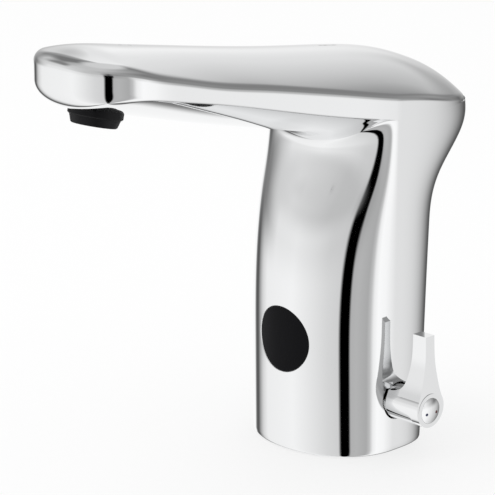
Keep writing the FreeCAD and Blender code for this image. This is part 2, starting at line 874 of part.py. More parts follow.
def drop_outline():
    """The blade seen along the stem: a drop that narrows upwards to a flat top."""
    half_top = blade_width / 2
    rise = blade_top - lever_z
    side = [
        Vector(0, -half_top, rise),
        Vector(0, -half_top - 0.5, rise * 0.6),
        Vector(0, -half_top - 1.5, rise * 0.42),
        Vector(0, -stem_radius + 0.25, rise * 0.16),
    ]
    mirrored = [Vector(0, -point.y, point.z) for point in reversed(side)]
    flare = Vector(0, -0.45, -1).normalize()
    left = smooth_edge(side, Z * -1, flare)
    right = smooth_edge(mirrored, Vector(0, flare.y, -flare.z), Z)
    bottom = Part.Arc(side[-1], Z * -stem_radius, mirrored[0]).toShape()
    top = Part.makeLine(mirrored[-1], side[0])
    return Part.Face(Part.Wire([left, bottom, right, top]))


def blade_scoop():
    """What is cut away behind the blade's curved inner face, down to the stem."""
    rise = blade_top - lever_z
    inner = hub_end - blade_lean - blade_depth
    shoulder = lever_z + stem_radius - blade_shoulder
    inner_line = smooth_edge(
        [Vector(inner, 0, blade_top), Vector(inner - 0.4, 0, lever_z + rise * 0.5),
         Vector(inner - 2.2, 0, lever_z + rise * 0.28), Vector(blade_root, 0, shoulder)],
        Z * -1, Vector(-1, 0, -0.12).normalize(),
    )
    behind = blade_root - blade_overlap - 1
    corners = [Vector(blade_root, 0, shoulder), Vector(behind, 0, shoulder),
               Vector(behind, 0, blade_top + 1), Vector(inner, 0, blade_top + 1),
               Vector(inner, 0, blade_top)]
    lines = [Part.makeLine(a, b) for a, b in zip(corners, corners[1:])]
    scoop = Part.Face(Part.Wire([inner_line] + lines)).extrude(Y * through)
    scoop.translate(Y * (lever_y - through / 2))
    below = block(
        Vector(behind, lever_y - spare, lever_z - spare),
        Vector(blade_root, lever_y + spare, shoulder + press_gap),
    )
    return scoop.fuse(below)


def blade_front():
    """What is cut away in front of the blade's slightly leaning face."""
    side = lever_y - through / 2
    high = blade_top + 1
    leaning = [Vector(hub_end, side, lever_z), Vector(hub_end + spare, side, lever_z),
               Vector(hub_end + spare, side, high), Vector(hub_end - blade_lean, side, high)]
    return Part.Face(Part.makePolygon(leaning + leaning[:1])).extrude(Y * through)


def lever_screw():
    head_start = spindle_end + screw_ledge
    head = rod(barrel_point(head_start), X, lever_screw_head, screw_head_height)
    shank_start = spindle_end - screw_depth
    shank = rod(barrel_point(shank_start), X, lever_screw_radius, head_start - shank_start + 0.5)
    socket_foot = barrel_point(head_start + socket_ledge)
    return head.fuse(shank).cut(rod(socket_foot, X, lever_screw_head * socket_share, spare))


def lever_cap():
    """A domed disc pressed into the hub's end, with two blind holes for the marks."""
    sphere_radius = (cap_radius ** 2 + cap_proud ** 2) / (2 * cap_proud)
    disc = rod(barrel_point(hub_end - cap_seat), X, cap_radius, cap_seat + cap_proud)
    ball = Part.makeSphere(sphere_radius, barrel_point(hub_end + cap_proud - sphere_radius))
    return disc.common(ball).cut([mark_hole(side) for side in (-1, 1)])


def mark_hole(side):
    place = barrel_point(hub_end - mark_depth) + Y * (side * mark_offset) - Z * mark_drop
    return rod(place, X, mark_radius, spare)


def mark(side):
    level = rod(barrel_point(hub_end - 1), X, cap_radius, 1 + mark_proud)
    return mark_hole(side).common(level)


# ================================================================ solenoid valve
bonnet_start = boss_top + diaphragm_thickness
bonnet_top = bonnet_start + bonnet_height
core_start = bonnet_start + core_seat
core_top = core_start + core_length
pad_start = bonnet_start
plunger_start = pad_start + pad_thickness
plunger_end = plunger_start + plunger_length
spring_top = core_top - core_plug


def diaphragm():
    """Rubber disc with a thick middle, a thin flexing ring and a pilot hole."""
    low = boss_top
    thin = low + diaphragm_thin
    high = low + diaphragm_thickness
    edge = boss_radius - diaphragm_inset
    return turned([
        (low, pilot_radius), (low, diaphragm_seat), (thin, diaphragm_seat + diaphragm_slant),
        (thin, diaphragm_fold - diaphragm_slant), (low, diaphragm_fold), (low, edge), (high, edge),
        (high, pilot_radius),
    ], Vector(0, lever_y, 0), Z)


def bonnet_ears(low, height):
    """A bar with round ends, across the boss, that holds the two screws."""
    corner = Vector(bonnet_screw_offset, ear_radius, 0)
    start = solenoid_point(low)
    bar = block(start - corner, start + corner + Z * height)
    return bar.fuse([
        rod(start + X * (side * bonnet_screw_offset), Z, ear_radius, height) for side in (-1, 1)
    ])


def valve_bonnet():
    cover = rod(solenoid_point(bonnet_start), Z, boss_radius, bonnet_height)
    cover = cover.fuse(bonnet_ears(bonnet_start, bonnet_height - bonnet_ear_step))
    holes = [
        rod(solenoid_point(bonnet_start), Z, core_radius - core_wall, bonnet_height),
        rod(solenoid_point(core_start), Z, core_radius + fit_gap, bonnet_height),
    ]
    holes += [
        rod(bonnet_screw_place(side, bonnet_start), Z, bonnet_screw_radius + loose_gap, bonnet_height)
        for side in (-1, 1)
    ]
    return cover.cut(holes)


def bonnet_screws():
    screws = []
    head_low = bonnet_top - bonnet_ear_step
    for side in (-1, 1):
        foot = bonnet_screw_place(side, boss_top - bonnet_screw_depth)
        under_head = bonnet_screw_place(side, head_low)
        shank = rod(foot, Z, bonnet_screw_radius, head_low - foot.z + bonnet_slot_ledge / 2)
        head = rod(under_head, Z, bonnet_screw_head, bonnet_head_height)
        slot = rod(under_head + Z * bonnet_slot_ledge, Z, bonnet_slot_radius, spare)
        screws.append(shank.fuse(head).cut(slot))
    return Part.makeCompound(screws)


def core_tube():
    inner = core_radius - core_wall
    return turned([
        (core_start, inner), (core_start, core_radius), (core_top - core_chamfer, core_radius),
        (core_top, core_radius - core_chamfer), (core_top, 0), (spring_top, 0), (spring_top, inner),
    ], Vector(0, lever_y, 0), Z)


def plunger():
    radius = core_radius - core_wall - plunger_gap
    return turned([
        (plunger_start, 0), (plunger_start, radius - plunger_chamfer),
        (plunger_start + plunger_chamfer, radius), (plunger_end, radius), (plunger_end, 0),
    ], Vector(0, lever_y, 0), Z)


def plunger_pad():
    return rod(solenoid_point(pad_start), Z, core_radius - core_wall - pad_inset, pad_thickness)


def plunger_spring():
    """Wire coil between the plunger and the closed end of the core tube."""
    length = spring_top - plunger_end - 2 * (spring_wire + fit_gap)
    mean = core_radius - core_wall - spring_inset
    start = plunger_end + spring_wire + fit_gap
    helix = Part.makeHelix(length / spring_turns, length, mean)
    circle = Part.Wire([Part.makeCircle(spring_wire, Vector(mean, 0, 0), Y)])
    coil = Part.Wire(helix).makePipeShell([circle], True, True)
    coil.translate(solenoid_point(start))
    return coil


bobbin_start = bonnet_top + frame_plate
bobbin_top = bobbin_start + bobbin_height


def coil_bobbin():
    inner = core_radius + fit_gap
    outer = core_radius + bobbin_wall
    rim = coil_radius + bobbin_rim
    low, high = bobbin_start + bobbin_flange, bobbin_top - bobbin_flange
    return turned([
        (bobbin_start, inner), (bobbin_start, rim), (low, rim), (low, outer), (high, outer),
        (high, rim), (bobbin_top, rim), (bobbin_top, inner),
    ], Vector(0, lever_y, 0), Z)


def coil_winding():
    start = bobbin_start + bobbin_flange + fit_gap
    return tube(
        solenoid_point(start), Z, coil_radius, core_radius + bobbin_wall + fit_gap,
        bobbin_height - 2 * (bobbin_flange + fit_gap),
    )


def coil_frame():
    """Steel strap round the coil, open at the front and the back."""
    half = coil_radius + frame_gap
    outer = block(
        Vector(-half - frame_plate, lever_y - frame_width / 2, bonnet_top),
        Vector(half + frame_plate, lever_y + frame_width / 2, bobbin_top + frame_plate),
    )
    inner = block(
        Vector(-half, lever_y - frame_width / 2, bobbin_start),
        Vector(half, lever_y + frame_width / 2, bobbin_top),
    )
    hole = rod(solenoid_point(bonnet_top - 1), Z, core_radius + fit_gap, through)
    return outer.cut([inner, hole])


# ================================================================ sensor module
def sensor_point(y):
    return Vector(0, y, window_height)


def sensor_screw_places(y_offset):
    shift = sensor_screw_circle / math.sqrt(2)
    return [
        Vector(side * shift, sensor_boss_back + y_offset, window_height + side * shift)
        for side in (-1, 1)
    ]


def sensor_window():
    return window_form(window_hole_radius - seal_ring_width, window_recess)


def window_seal():
    ring = window_form(window_hole_radius - press_gap, window_recess + seal_step)
    inner = window_hole_radius - seal_ring_width + press_gap
    return ring.cut(rod(sensor_point(-spare), Y * -1, inner, through))


def sensor_housing():
    front = window_back + press_gap
    depth = sensor_body_back - front
    tip_radius = window_hole_radius - disc_clearance
    tip = rod(sensor_point(front), Y, tip_radius, sensor_boss_back - front)
    flange = rod(sensor_point(sensor_boss_back), Y, sensor_flange_radius, sensor_flange)
    rear = rod(sensor_point(front), Y, sensor_body_radius, depth)
    pocket = rod(sensor_point(front), Y, sensor_body_radius - sensor_shell, depth - sensor_shell)
    holes = [
        rod(place, Y, sensor_screw_radius + loose_gap, through) for place in sensor_screw_places(0)
    ]
    lead_start = sensor_point(lead_hole_place) - Z * lead_hole_start
    lead_hole = rod(lead_start, Z, cable_radius, lead_hole_length)
    return tip.fuse([flange, rear]).cut([pocket, lead_hole] + holes)


def sensor_screws():
    screws = []
    for place in sensor_screw_places(sensor_flange):
        shank = rod(place, Y * -1, sensor_screw_radius, sensor_flange + sensor_screw_depth)
        head = rod(place, Y, sensor_screw_head, sensor_head_height)
        screws.append(shank.fuse(head))
    return Part.makeCompound(screws)


def circuit_board():
    radius = sensor_body_radius - sensor_shell - disc_clearance
    board = rod(sensor_point(board_place), Y, radius, board_thickness)
    back = sensor_point(board_place + board_thickness)
    corner = Vector(chip_half, 0, chip_half)
    return board.fuse(block(back - corner, back + corner + Y * chip_height))


def diode(side, radius, length):
    """A round-nosed diode on the board, looking out through the window."""
    place = Vector(side * diode_offset, board_place, window_height)
    stem = rod(place, Y * -1, radius, length - radius)
    nose = Part.makeSphere(radius, place - Y * (length - radius))
    foot = rod(place, Y * -1, radius + diode_foot, diode_foot_height)
    return stem.fuse([nose, foot])


# ================================================================ outlet tube
def outlet_tube():
    corner = tube_point(-tube_y)
    turn = math.pi / 2 - math.atan(tube_slope)
    back = tube_bend * math.tan(turn / 2)
    foot = Vector(0, tube_y, tube_foot)
    low = corner - Z * back
    high = corner + tube_direction() * back
    end = tube_point(tube_reach)
    centre = low - Y * tube_bend
    middle = centre + (corner - centre).normalize() * tube_bend
    path = Part.Wire([
        Part.makeLine(foot, low), Part.Arc(low, middle, high).toShape(), Part.makeLine(high, end),
    ])
    outer = path.makePipeShell([Part.Wire([Part.makeCircle(tube_radius, foot, Z)])], True, True)
    inner = path.makePipeShell([Part.Wire([Part.makeCircle(tube_bore, foot, Z)])], True, True)
    return outer.cut(inner)


def tube_seals():
    outer, inner = tube_radius + ring_section, tube_radius + press_gap
    low = tube(
        Vector(0, tube_y, boss_top - tube_ring_length + disc_clearance), Z, outer, inner,
        tube_ring_length - 2 * disc_clearance,
    )
    place = tube_point(hollow_stations[-1][0]) + tube_direction() * upper_ring_place
    high = tube(place, tube_direction(), outer, inner, upper_ring_length)
    return Part.makeCompound([low, high])


# ================================================================ aerator
def aerator_washer():
    place = aerator_point(-thread_length - washer_thickness)
    inner = chamber_bore + washer_inset
    return tube(place, aerator_axis(), thread_radius, inner, washer_thickness)


def aerator_housing():
    return turned([
        (-thread_length, insert_radius + fit_gap), (-thread_length, thread_radius - thread_chamfer),
        (-thread_length + thread_chamfer, thread_radius), (0, thread_radius), (0, collar_radius),
        (collar_height - collar_chamfer, collar_radius),
        (collar_height, collar_radius - collar_chamfer),
        (collar_height, insert_radius + fit_gap),
    ], aerator_point(0), aerator_axis())


def aerator_nozzle():
    low = collar_height + fit_gap
    ledge = collar_height - nozzle_ledge
    end = low + nozzle_height
    sleeve_end = nozzle_skirt - thread_length
    return turned([
        (sleeve_end, nozzle_bore), (sleeve_end, insert_radius), (low, insert_radius),
        (low, nozzle_top_radius), (end - nozzle_chamfer, nozzle_end_radius + nozzle_chamfer / 3),
        (end, nozzle_end_radius - nozzle_chamfer * 2 / 3), (end, nozzle_outlet + nozzle_lip),
        (end - nozzle_lip_height, nozzle_outlet), (ledge, nozzle_outlet), (ledge, nozzle_bore),
    ], aerator_point(0), aerator_axis())


def aerator_mesh():
    """Perforated disc on the nozzle's ledge: a centre hole and two rings of six and twelve."""
    place = aerator_point(collar_height - nozzle_ledge - mesh_thickness)
    disc = Part.makeCylinder(nozzle_bore - fit_gap, mesh_thickness)
    holes = [Part.makeCylinder(mesh_hole_radius, mesh_thickness)]
    for ring, count in mesh_rings:
        for number in range(count):
            angle = 2 * math.pi * number / count
            spot = Vector(math.cos(angle), math.sin(angle), 0) * (ring * mesh_pitch)
            holes.append(Part.makeCylinder(mesh_hole_radius, mesh_thickness, spot))
    disc = disc.cut(holes)
    disc.Placement = FreeCAD.Placement(place, FreeCAD.Rotation(Z, aerator_axis()))
    return disc


# ================================================================ write every piece
pieces = {
    "body_casting": body_casting,
    "base_plate": base_plate,
    "base_gasket": base_gasket,
    "base_screws": base_screws,
    "cable_grommet": cable_grommet,
    "valve_block": valve_block,
    "inlet_strainers": inlet_strainers,
    "cartridge_seal": cartridge_seal,
    "fixed_disc": fixed_disc,
    "turning_disc": turning_disc,
    "cartridge_sleeve": cartridge_sleeve,
    "spindle": spindle,
    "spindle_rings": spindle_rings,
    "cartridge_nut": cartridge_nut,
    "lever": lever,
    "lever_screw": lever_screw,
    "lever_cap": lever_cap,
    "cold_mark": lambda: mark(-1),
    "hot_mark": lambda: mark(1),
    "diaphragm": diaphragm,
    "valve_bonnet": valve_bonnet,
    "bonnet_screws": bonnet_screws,
    "core_tube": core_tube,
    "plunger": plunger,
    "plunger_pad": plunger_pad,
    "plunger_spring": plunger_spring,
    "coil_bobbin": coil_bobbin,
    "coil_winding": coil_winding,
    "coil_frame": coil_frame,
    "sensor_window": sensor_window,
    "window_seal": window_seal,
    "sensor_housing": sensor_housing,
    "sensor_screws": sensor_screws,
    "circuit_board": circuit_board,
    "infrared_emitter": lambda: diode(-1, emitter_radius, emitter_length),
    "infrared_receiver": lambda: diode(1, receiver_radius, receiver_length),
    "outlet_tube": outlet_tube,
    "tube_seals": tube_seals,
    "aerator_washer": aerator_washer,
    "aerator_housing": aerator_housing,
    "aerator_nozzle": aerator_nozzle,
    "aerator_mesh": aerator_mesh,
}

for name, make in pieces.items():
    shape = make()
    shape.exportStep(f"parts/{name}.step")
    print(name, len(shape.Solids), "solid(s)", round(shape.Volume, 1), "mm3", shape.isValid())
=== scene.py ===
# %% [markdown]
# # A chromed sensor tap
# The tap is one hollow casting, plated with chrome, with a black sensor window in its front, a
# small lever at its side and a black aerator under the spout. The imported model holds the
# engineering: every piece inside, the lever's hinge and the valve's plunger. This lesson
# dresses it. Lengths are written in millimetres, as a maker would, and turned into Blender's
# metres by one factor.

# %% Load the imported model
import math

import bmesh
import bpy
import numpy as np
from mathutils import Matrix, Vector


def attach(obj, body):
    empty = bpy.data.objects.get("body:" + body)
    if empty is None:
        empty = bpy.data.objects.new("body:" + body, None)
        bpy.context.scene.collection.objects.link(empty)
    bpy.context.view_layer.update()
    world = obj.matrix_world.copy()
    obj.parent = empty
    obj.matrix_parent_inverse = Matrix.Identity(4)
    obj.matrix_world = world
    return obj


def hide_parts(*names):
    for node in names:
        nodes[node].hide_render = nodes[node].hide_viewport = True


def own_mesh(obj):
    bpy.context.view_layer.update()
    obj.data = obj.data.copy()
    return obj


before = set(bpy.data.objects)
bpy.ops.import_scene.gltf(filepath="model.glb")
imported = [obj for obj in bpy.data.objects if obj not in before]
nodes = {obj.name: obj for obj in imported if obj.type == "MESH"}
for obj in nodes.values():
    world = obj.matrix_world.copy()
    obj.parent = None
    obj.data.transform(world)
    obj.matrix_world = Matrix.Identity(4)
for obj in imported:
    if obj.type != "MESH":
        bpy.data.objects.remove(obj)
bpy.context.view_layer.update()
MM = 0.001

# %% [markdown]
# ## The camera
# The reference view looks down on the tap from its right front corner through a long lens, so
# that parallel edges hardly converge. Where the camera stands, and the three directions of its
# frame, were found by matching the outline of the whole tap. A long lens far away keeps that
# flat look.

# %% Camera at the reference angle
CAMERA_PLACE = Vector((615.50, -644.48, 323.15)) * MM
CAMERA_RIGHT = Vector((0.69806, 0.71603, 0.00360)).normalized()
CAMERA_UP = Vector((-0.19893, 0.18910, 0.96160)).normalized()
IMAGE_WIDTH = 495
FOCAL_PIXELS = 2600
FILM_WIDTH = 36
NEAREST, FARTHEST = 0.05, 20

camera_data = bpy.data.cameras.new("camera")
camera_data.sensor_width = FILM_WIDTH
camera_data.lens = FOCAL_PIXELS * camera_data.sensor_width / IMAGE_WIDTH
camera = bpy.data.objects.new("camera", camera_data)
backward = CAMERA_RIGHT.cross(CAMERA_UP)
camera.matrix_world = Matrix.Translation(CAMERA_PLACE) @ Matrix(
    (CAMERA_RIGHT, CAMERA_UP, backward)).transposed().to_4x4()
camera_data.clip_start, camera_data.clip_end = NEAREST, FARTHEST
bpy.context.scene.collection.objects.link(camera)
bpy.context.scene.camera = camera
bpy.context.scene.view_settings.view_transform = "Standard"
print("lens, mm:", round(camera_data.lens, 1))

# %% [markdown]
# ## Small helpers for materials
# Every finish here is a Principled shader with a little texture of its own. One helper makes
# the shader and sets the plain values straight on its sockets; a second one adds fine noise
# that varies the roughness and lifts the surface by a few microns, which is what keeps metal
# and plastic from looking computed.


# %% Material helpers
DARK_UP_TO, LIGHT_FROM = 0.35, 0.65


def new_material(name, colour, roughness, metallic=0.0, **sockets):
    material = bpy.data.materials.new(name)
    material.use_nodes = True
    shader = material.node_tree.nodes["Principled BSDF"]
    shader.inputs["Base Color"].default_value = (*colour, 1)
    shader.inputs["Roughness"].default_value = roughness
    shader.inputs["Metallic"].default_value = metallic
    for socket, value in sockets.items():
        shader.inputs[socket.replace("_", " ")].default_value = value
    return material


def add(material, kind, **settings):
    node = material.node_tree.nodes.new("ShaderNode" + kind)
    for name, value in settings.items():
        if name in node.inputs:
            node.inputs[name].default_value = value
        else:
            setattr(node, name, value)
    return node


def noise(material, scale, detail=2.0, stretch=(1, 1, 1)):
    """Noise in object space, finer for a larger scale; stretch draws it out along an axis."""
    place = add(material, "TexCoord")
    spread = add(material, "Mapping", Scale=stretch)
    texture = add(material, "TexNoise", Scale=scale, Detail=detail)
    link = material.node_tree.links.new
    link(place.outputs["Object"], spread.inputs["Vector"])
    link(spread.outputs["Vector"], texture.inputs["Vector"])
    return texture.outputs["Fac"]


def vary(material, source, socket, low, high):
    """The texture moves one of the shader's values between low and high."""
    shader = material.node_tree.nodes["Principled BSDF"]
    spread = add(material, "MapRange")
    spread.inputs["To Min"].default_value = low
    spread.inputs["To Max"].default_value = high
    material.node_tree.links.new(source, spread.inputs["Value"])
    material.node_tree.links.new(spread.outputs["Result"], shader.inputs[socket])


def tint(material, source, dark, light):
    """The texture mixes two colours."""
    shader = material.node_tree.nodes["Principled BSDF"]
    ramp = add(material, "ValToRGB")
    places_and_colours = ((DARK_UP_TO, dark), (LIGHT_FROM, light))
    for element, (place, colour) in zip(ramp.color_ramp.elements, places_and_colours):
        element.position = place
        element.color = (*colour, 1)
    material.node_tree.links.new(source, ramp.inputs["Fac"])
    material.node_tree.links.new(ramp.outputs["Color"], shader.inputs["Base Color"])


def lift(material, source, height_mm, strength=1.0):
    """The texture raises the surface by up to the given height."""
    shader = material.node_tree.nodes["Principled BSDF"]
    bump = add(material, "Bump", Strength=strength, Distance=height_mm * MM)
    material.node_tree.links.new(source, bump.inputs["Height"])
    material.node_tree.links.new(bump.outputs["Normal"], shader.inputs["Normal"])


# %% [markdown]
# ## Finishes
# Chrome plate over a polished casting is almost a mirror. Its faults are what make it real: a
# long, very shallow waviness left by the polishing wheel, and faint cloudy patches where the
# roughness changes. The black parts are two different plastics: the window is a glossy
# infrared filter, and the aerator a moulded, slightly grained housing. What sits inside gets
# the metals, rubbers and plastics that it has on the bench, with brushed, cast or moulded
# texture.


# %% Chrome, and the black parts
def polished_chrome():
    material = new_material("polished_chrome", (0.86, 0.865, 0.87), 0.04, 1.0)
    vary(material, noise(material, scale=60, detail=3), "Roughness", low=0.02, high=0.06)
    lift(material, noise(material, scale=28, detail=1), height_mm=0.004, strength=0.25)
    return material


def window_black():
    material = new_material("window_black", (0.006, 0.006, 0.007), 0.06,
                            Specular_IOR_Level=0.04)
    vary(material, noise(material, scale=300), "Roughness", low=0.04, high=0.09)
    return material


def aerator_black():
    material = new_material("aerator_black", (0.006, 0.006, 0.007), 0.38,
                            Specular_IOR_Level=0.14)
    vary(material, noise(material, scale=900, detail=3), "Roughness", low=0.3, high=0.5)
    lift(material, noise(material, scale=2500), height_mm=0.01, strength=0.4)
    return material


def black_rubber():
    material = new_material("black_rubber", (0.02, 0.02, 0.021), 0.7)
    powdery = noise(material, scale=700, detail=3)
    tint(material, powdery, dark=(0.016, 0.016, 0.017), light=(0.03, 0.03, 0.031))
    lift(material, noise(material, scale=1800), height_mm=0.015, strength=0.5)
    return material


# %% [markdown]
# The metals inside are turned, cast or brushed. Stretched noise gives the fine parallel lines
# of a turned or brushed face, and plain noise gives the grain of a casting.


# %% Metals inside
def turned_metal(name, dark, light, roughness, stretch):
    material = new_material(name, light, roughness, 1.0)
    lines = noise(material, scale=400, stretch=stretch)
    tint(material, lines, dark, light)
    cloudy = noise(material, scale=150)
    vary(material, cloudy, "Roughness", low=roughness * 0.8, high=roughness * 1.3)
    lift(material, lines, height_mm=0.01, strength=0.3)
    return material


GRAIN, LINES_ACROSS, LINES_AROUND = (1, 1, 1), (6, 1, 1), (1, 1, 8)
brass = turned_metal("cast_brass", (0.55, 0.38, 0.16), (0.72, 0.53, 0.26), 0.34, GRAIN)
steel = turned_metal("stainless_steel", (0.42, 0.42, 0.43), (0.6, 0.6, 0.61), 0.28, LINES_ACROSS)
plated_steel = turned_metal("zinc_plated_steel", (0.45, 0.46, 0.48), (0.66, 0.67, 0.69), 0.32,
                            GRAIN)
soft_iron = turned_metal("soft_iron", (0.3, 0.3, 0.31), (0.45, 0.45, 0.46), 0.36, LINES_AROUND)
cast_zinc = turned_metal("cast_zinc", (0.36, 0.37, 0.38), (0.5, 0.51, 0.53), 0.42, GRAIN)
metals = (brass, steel, plated_steel, soft_iron, cast_zinc)
print("metals:", [metal.name for metal in metals])


# %% [markdown]
# Moulded plastic is never one colour under a lamp: its skin has a fine grain and slightly
# uneven gloss. One helper serves every plastic, the ceramic discs, the circuit board and the
# enamel, with the grain as fine as each needs. The coil's copper gets the bands of its turns
# from a wave, which lifts the turns and also paints shade into the grooves between them.


# %% Plastics, ceramic, enamel and the copper winding
def moulded(name, dark, light, roughness, grain=700, relief=0.01):
    material = new_material(name, light, roughness)
    tint(material, noise(material, scale=grain * 0.4), dark, light)
    gloss = noise(material, scale=grain)
    vary(material, gloss, "Roughness", low=roughness * 0.8, high=roughness * 1.2)
    lift(material, noise(material, scale=grain * 2), height_mm=relief, strength=0.4)
    return material


def wound_copper():
    material = new_material("wound_copper", (0.62, 0.27, 0.11), 0.3, 1.0)
    turns = add(material, "TexWave", Scale=900, Distortion=0.2, bands_direction="Z")
    place = add(material, "TexCoord")
    material.node_tree.links.new(place.outputs["Object"], turns.inputs["Vector"])
    turn_relief_and_painted_shade = turns.outputs["Fac"]
    # The darker colour in the grooves between the turns is painted shade; the wire itself is one
    # colour.
    tint(material, turn_relief_and_painted_shade, dark=(0.36, 0.13, 0.05), light=(0.72, 0.34, 0.15))
    lift(material, turn_relief_and_painted_shade, height_mm=0.06, strength=0.8)
    return material


# %% Every finish on its pieces
chrome = polished_chrome()
glossy_black = window_black()
grained_black = aerator_black()
rubber = black_rubber()
copper = wound_copper()
ceramic = moulded("ceramic", (0.8, 0.79, 0.76), (0.88, 0.87, 0.85), 0.25, 500, 0.004)
white_plastic = moulded("white_plastic", (0.68, 0.68, 0.66), (0.78, 0.78, 0.76), 0.4)
grey_plastic = moulded("grey_plastic", (0.1, 0.1, 0.105), (0.15, 0.15, 0.155), 0.45)
clear_tube = moulded("tube_plastic", (0.62, 0.64, 0.66), (0.72, 0.74, 0.76), 0.35)
green_board = moulded("green_board", (0.01, 0.11, 0.045), (0.02, 0.17, 0.07), 0.35, 900, 0.01)
diode_plastic = moulded("diode_plastic", (0.012, 0.008, 0.02), (0.03, 0.02, 0.05), 0.15, 600, 0.003)
blue_enamel = moulded("blue_enamel", (0.004, 0.012, 0.06), (0.008, 0.02, 0.09), 0.3, 800, 0.004)
red_enamel = moulded("red_enamel", (0.07, 0.006, 0.005), (0.1, 0.01, 0.008), 0.3, 800, 0.004)

FINISHES = {
    chrome: ["body_casting", "lever", "lever_cap"],
    glossy_black: ["sensor_window"],
    grained_black: ["aerator_housing", "aerator_nozzle"],
    rubber: ["window_seal", "base_gasket", "cable_grommet", "cartridge_seal", "spindle_rings",
             "diaphragm", "plunger_pad", "tube_seals", "aerator_washer"],
    brass: ["valve_block", "cartridge_nut"],
    cast_zinc: ["base_plate"],
    steel: ["spindle", "lever_screw", "core_tube", "plunger_spring", "aerator_mesh",
            "inlet_strainers", "cartridge_sleeve"],
    plated_steel: ["base_screws", "bonnet_screws", "sensor_screws", "coil_frame"],
    soft_iron: ["plunger"],
    copper: ["coil_winding"],
    ceramic: ["fixed_disc", "turning_disc"],
    white_plastic: ["coil_bobbin", "valve_bonnet"],
    grey_plastic: ["sensor_housing"],
    clear_tube: ["outlet_tube"],
    green_board: ["circuit_board"],
    diode_plastic: ["infrared_emitter", "infrared_receiver"],
    blue_enamel: ["cold_mark"],
    red_enamel: ["hot_mark"],
}
unfinished = set(nodes)
for material, names in FINISHES.items():
    for name in names:
        nodes[name].data.materials.clear()
        nodes[name].data.materials.append(material)
    unfinished -= set(names)
print("nodes dressed:", len(nodes) - len(unfinished), "left:", sorted(unfinished))

# %% [markdown]
# ## The casting's skin
# A mirror finish shows every facet, so the casting gets a skin of its own: a net of small
# four-sided faces whose lines run up the pillar, out along the belly of the spout, over the
# rounded edge and across the crown. It could be made by subdividing a cage, but the form is
# known exactly from a few stations, so each point of the net is worked out from them. Smooth
# curves through stations are the one tool needed.


# %% Curves through stations
def through(stations, column):
    """A natural cubic curve through the stations: the first column gives its places."""
    places, values = np.array(stations, float)[:, [0, column]].T
    count, gaps = len(places), np.diff(places)
    system, right = np.eye(count), np.zeros(count)
    slopes = np.diff(values) / gaps
    for i in range(1, count - 1):
        system[i, i - 1:i + 2] = gaps[i - 1], 2 * (gaps[i - 1] + gaps[i]), gaps[i]
        right[i] = 6 * (slopes[i] - slopes[i - 1])
    bend = np.linalg.solve(system, right)

    def value(at):
        at = np.asarray(at, float)
        i = np.clip(np.searchsorted(places, at) - 1, 0, count - 2)
        past, left, gap = at - places[i], places[i + 1] - at, gaps[i]
        return ((bend[i] * left ** 3 + bend[i + 1] * past ** 3) / (6 * gap)
                + (values[i] / gap - bend[i] * gap / 6) * left
                + (values[i + 1] / gap - bend[i + 1] * gap / 6) * past)
    return value


def fade(value, start, end):
    """0 before start, 1 after end, and smooth between."""
    t = np.clip((value - start) / (end - start), 0, 1)
    return t * t * (3 - 2 * t)


check = through(((0, 0), (1, 1), (2, 0)), 1)
print("a curve through 0, 1, 0 passes", round(float(check(1.0)), 3), "in the middle")


# %% [markdown]
# ### The stations
# The pillar is D-shaped: nearly round in front and squarer behind, and its depth changes with
# height. The spout is seen from above as an outline, closed over by a crown and from below by
# a keel, each an arc across whose height and radius change along the spout.

# %% Stations of the form
HALF_WIDTH = 30.0
FRONT_POWER = 2.1
BACK_POWER = 3.4
TIP_POWER = 2.7
# height, depth of the front, depth of the back
PILLAR = (
    (0, 25.8, 24.7), (32, 26.5, 26.0), (62, 26.2, 27.2), (78, 24.2, 28.0), (89, 21.2, 29.6),
    (97, 18.0, 34.2), (105, 15.2, 42.4), (111, 13.8, 47.8), (116, 13.2, 49.6), (121, 13.0, 49.2),
    (127, 13.0, 48.6),
)
SPOUT_REACH = 128.0
TIP_START = 96.2
TIP_HALF_WIDTH = 24.6
SIDES = ((22.0, 28.4), (62.0, 25.8))
# The ridge and the keel rise along straight lines: height over the widest line, and slope. The
# skin's ridge lies a tenth of a millimetre under the casting's. Near the tip the skin's crown is
# also a little flatter across, so that the rim runs on without a bump.
RIDGE_LINE = (141.1, 0.155)
KEEL_LINE = (108.5, 0.25)
# reach along the spout, height of the ridge above its line, radius across
CROWN = (
    (-54, -14.8, 39.5), (-46, -8.4, 39.5), (-38, -3.5, 39.5), (-29, -0.7, 39.5),
    (-19, 1.0, 39.5), (-6, 1.5, 39.5), (15, 0.8, 39.5), (40, 0.0, 39.5), (60, -0.2, 39.0),
    (80, -0.2, 38.5), (90, -0.2, 41.0), (100, -0.2, 45.0), (110, -0.3, 51.0),
    (118, -1.4, 64.0), (125.5, -3.9, 90.0), (133.5, -5.6, 160.0),
)
# reach along the spout, height of the keel above its line, radius across
KEEL = (
    (-1, 2.05, 50), (20, 1.7, 49), (60, 0.4, 40), (80, 0, 38), (99.5, 0, 40), (131.5, 0, 41),
)
# The radius of the rim and of the lower edge, and the reaches between which each changes.
RIM_SIDE, RIM_TIP = 4.0, 4.4
RIM_CHANGES = (90, 122)
EDGE_ROOT, EDGE_SIDE, EDGE_TIP = 0.25, 1.2, 6.0
EDGE_OPENS, EDGE_CHANGES = (8, 26), (108, 124)
HEAD_BACK = 48.8
WALL = 3.2

front_depth, back_depth = through(PILLAR, 1), through(PILLAR, 2)
ridge_height, crown_radius = through(CROWN, 1), through(CROWN, 2)
keel_height, keel_radius = through(KEEL, 1), through(KEEL, 2)


def crown(x, y):
    radius = crown_radius(-y)
    level = RIDGE_LINE[0] - RIDGE_LINE[1] * y + ridge_height(-y)
    return level - radius + np.sqrt(np.maximum(radius ** 2 - x ** 2, 1))


def keel(x, y):
    radius = keel_radius(-y)
    level = KEEL_LINE[0] - KEEL_LINE[1] * y + keel_height(-y)
    return level + radius - np.sqrt(np.maximum(radius ** 2 - x ** 2, 1))


print("spout's depth at its middle, mm:", round(float(crown(0, -60) - keel(0, -60)), 1))


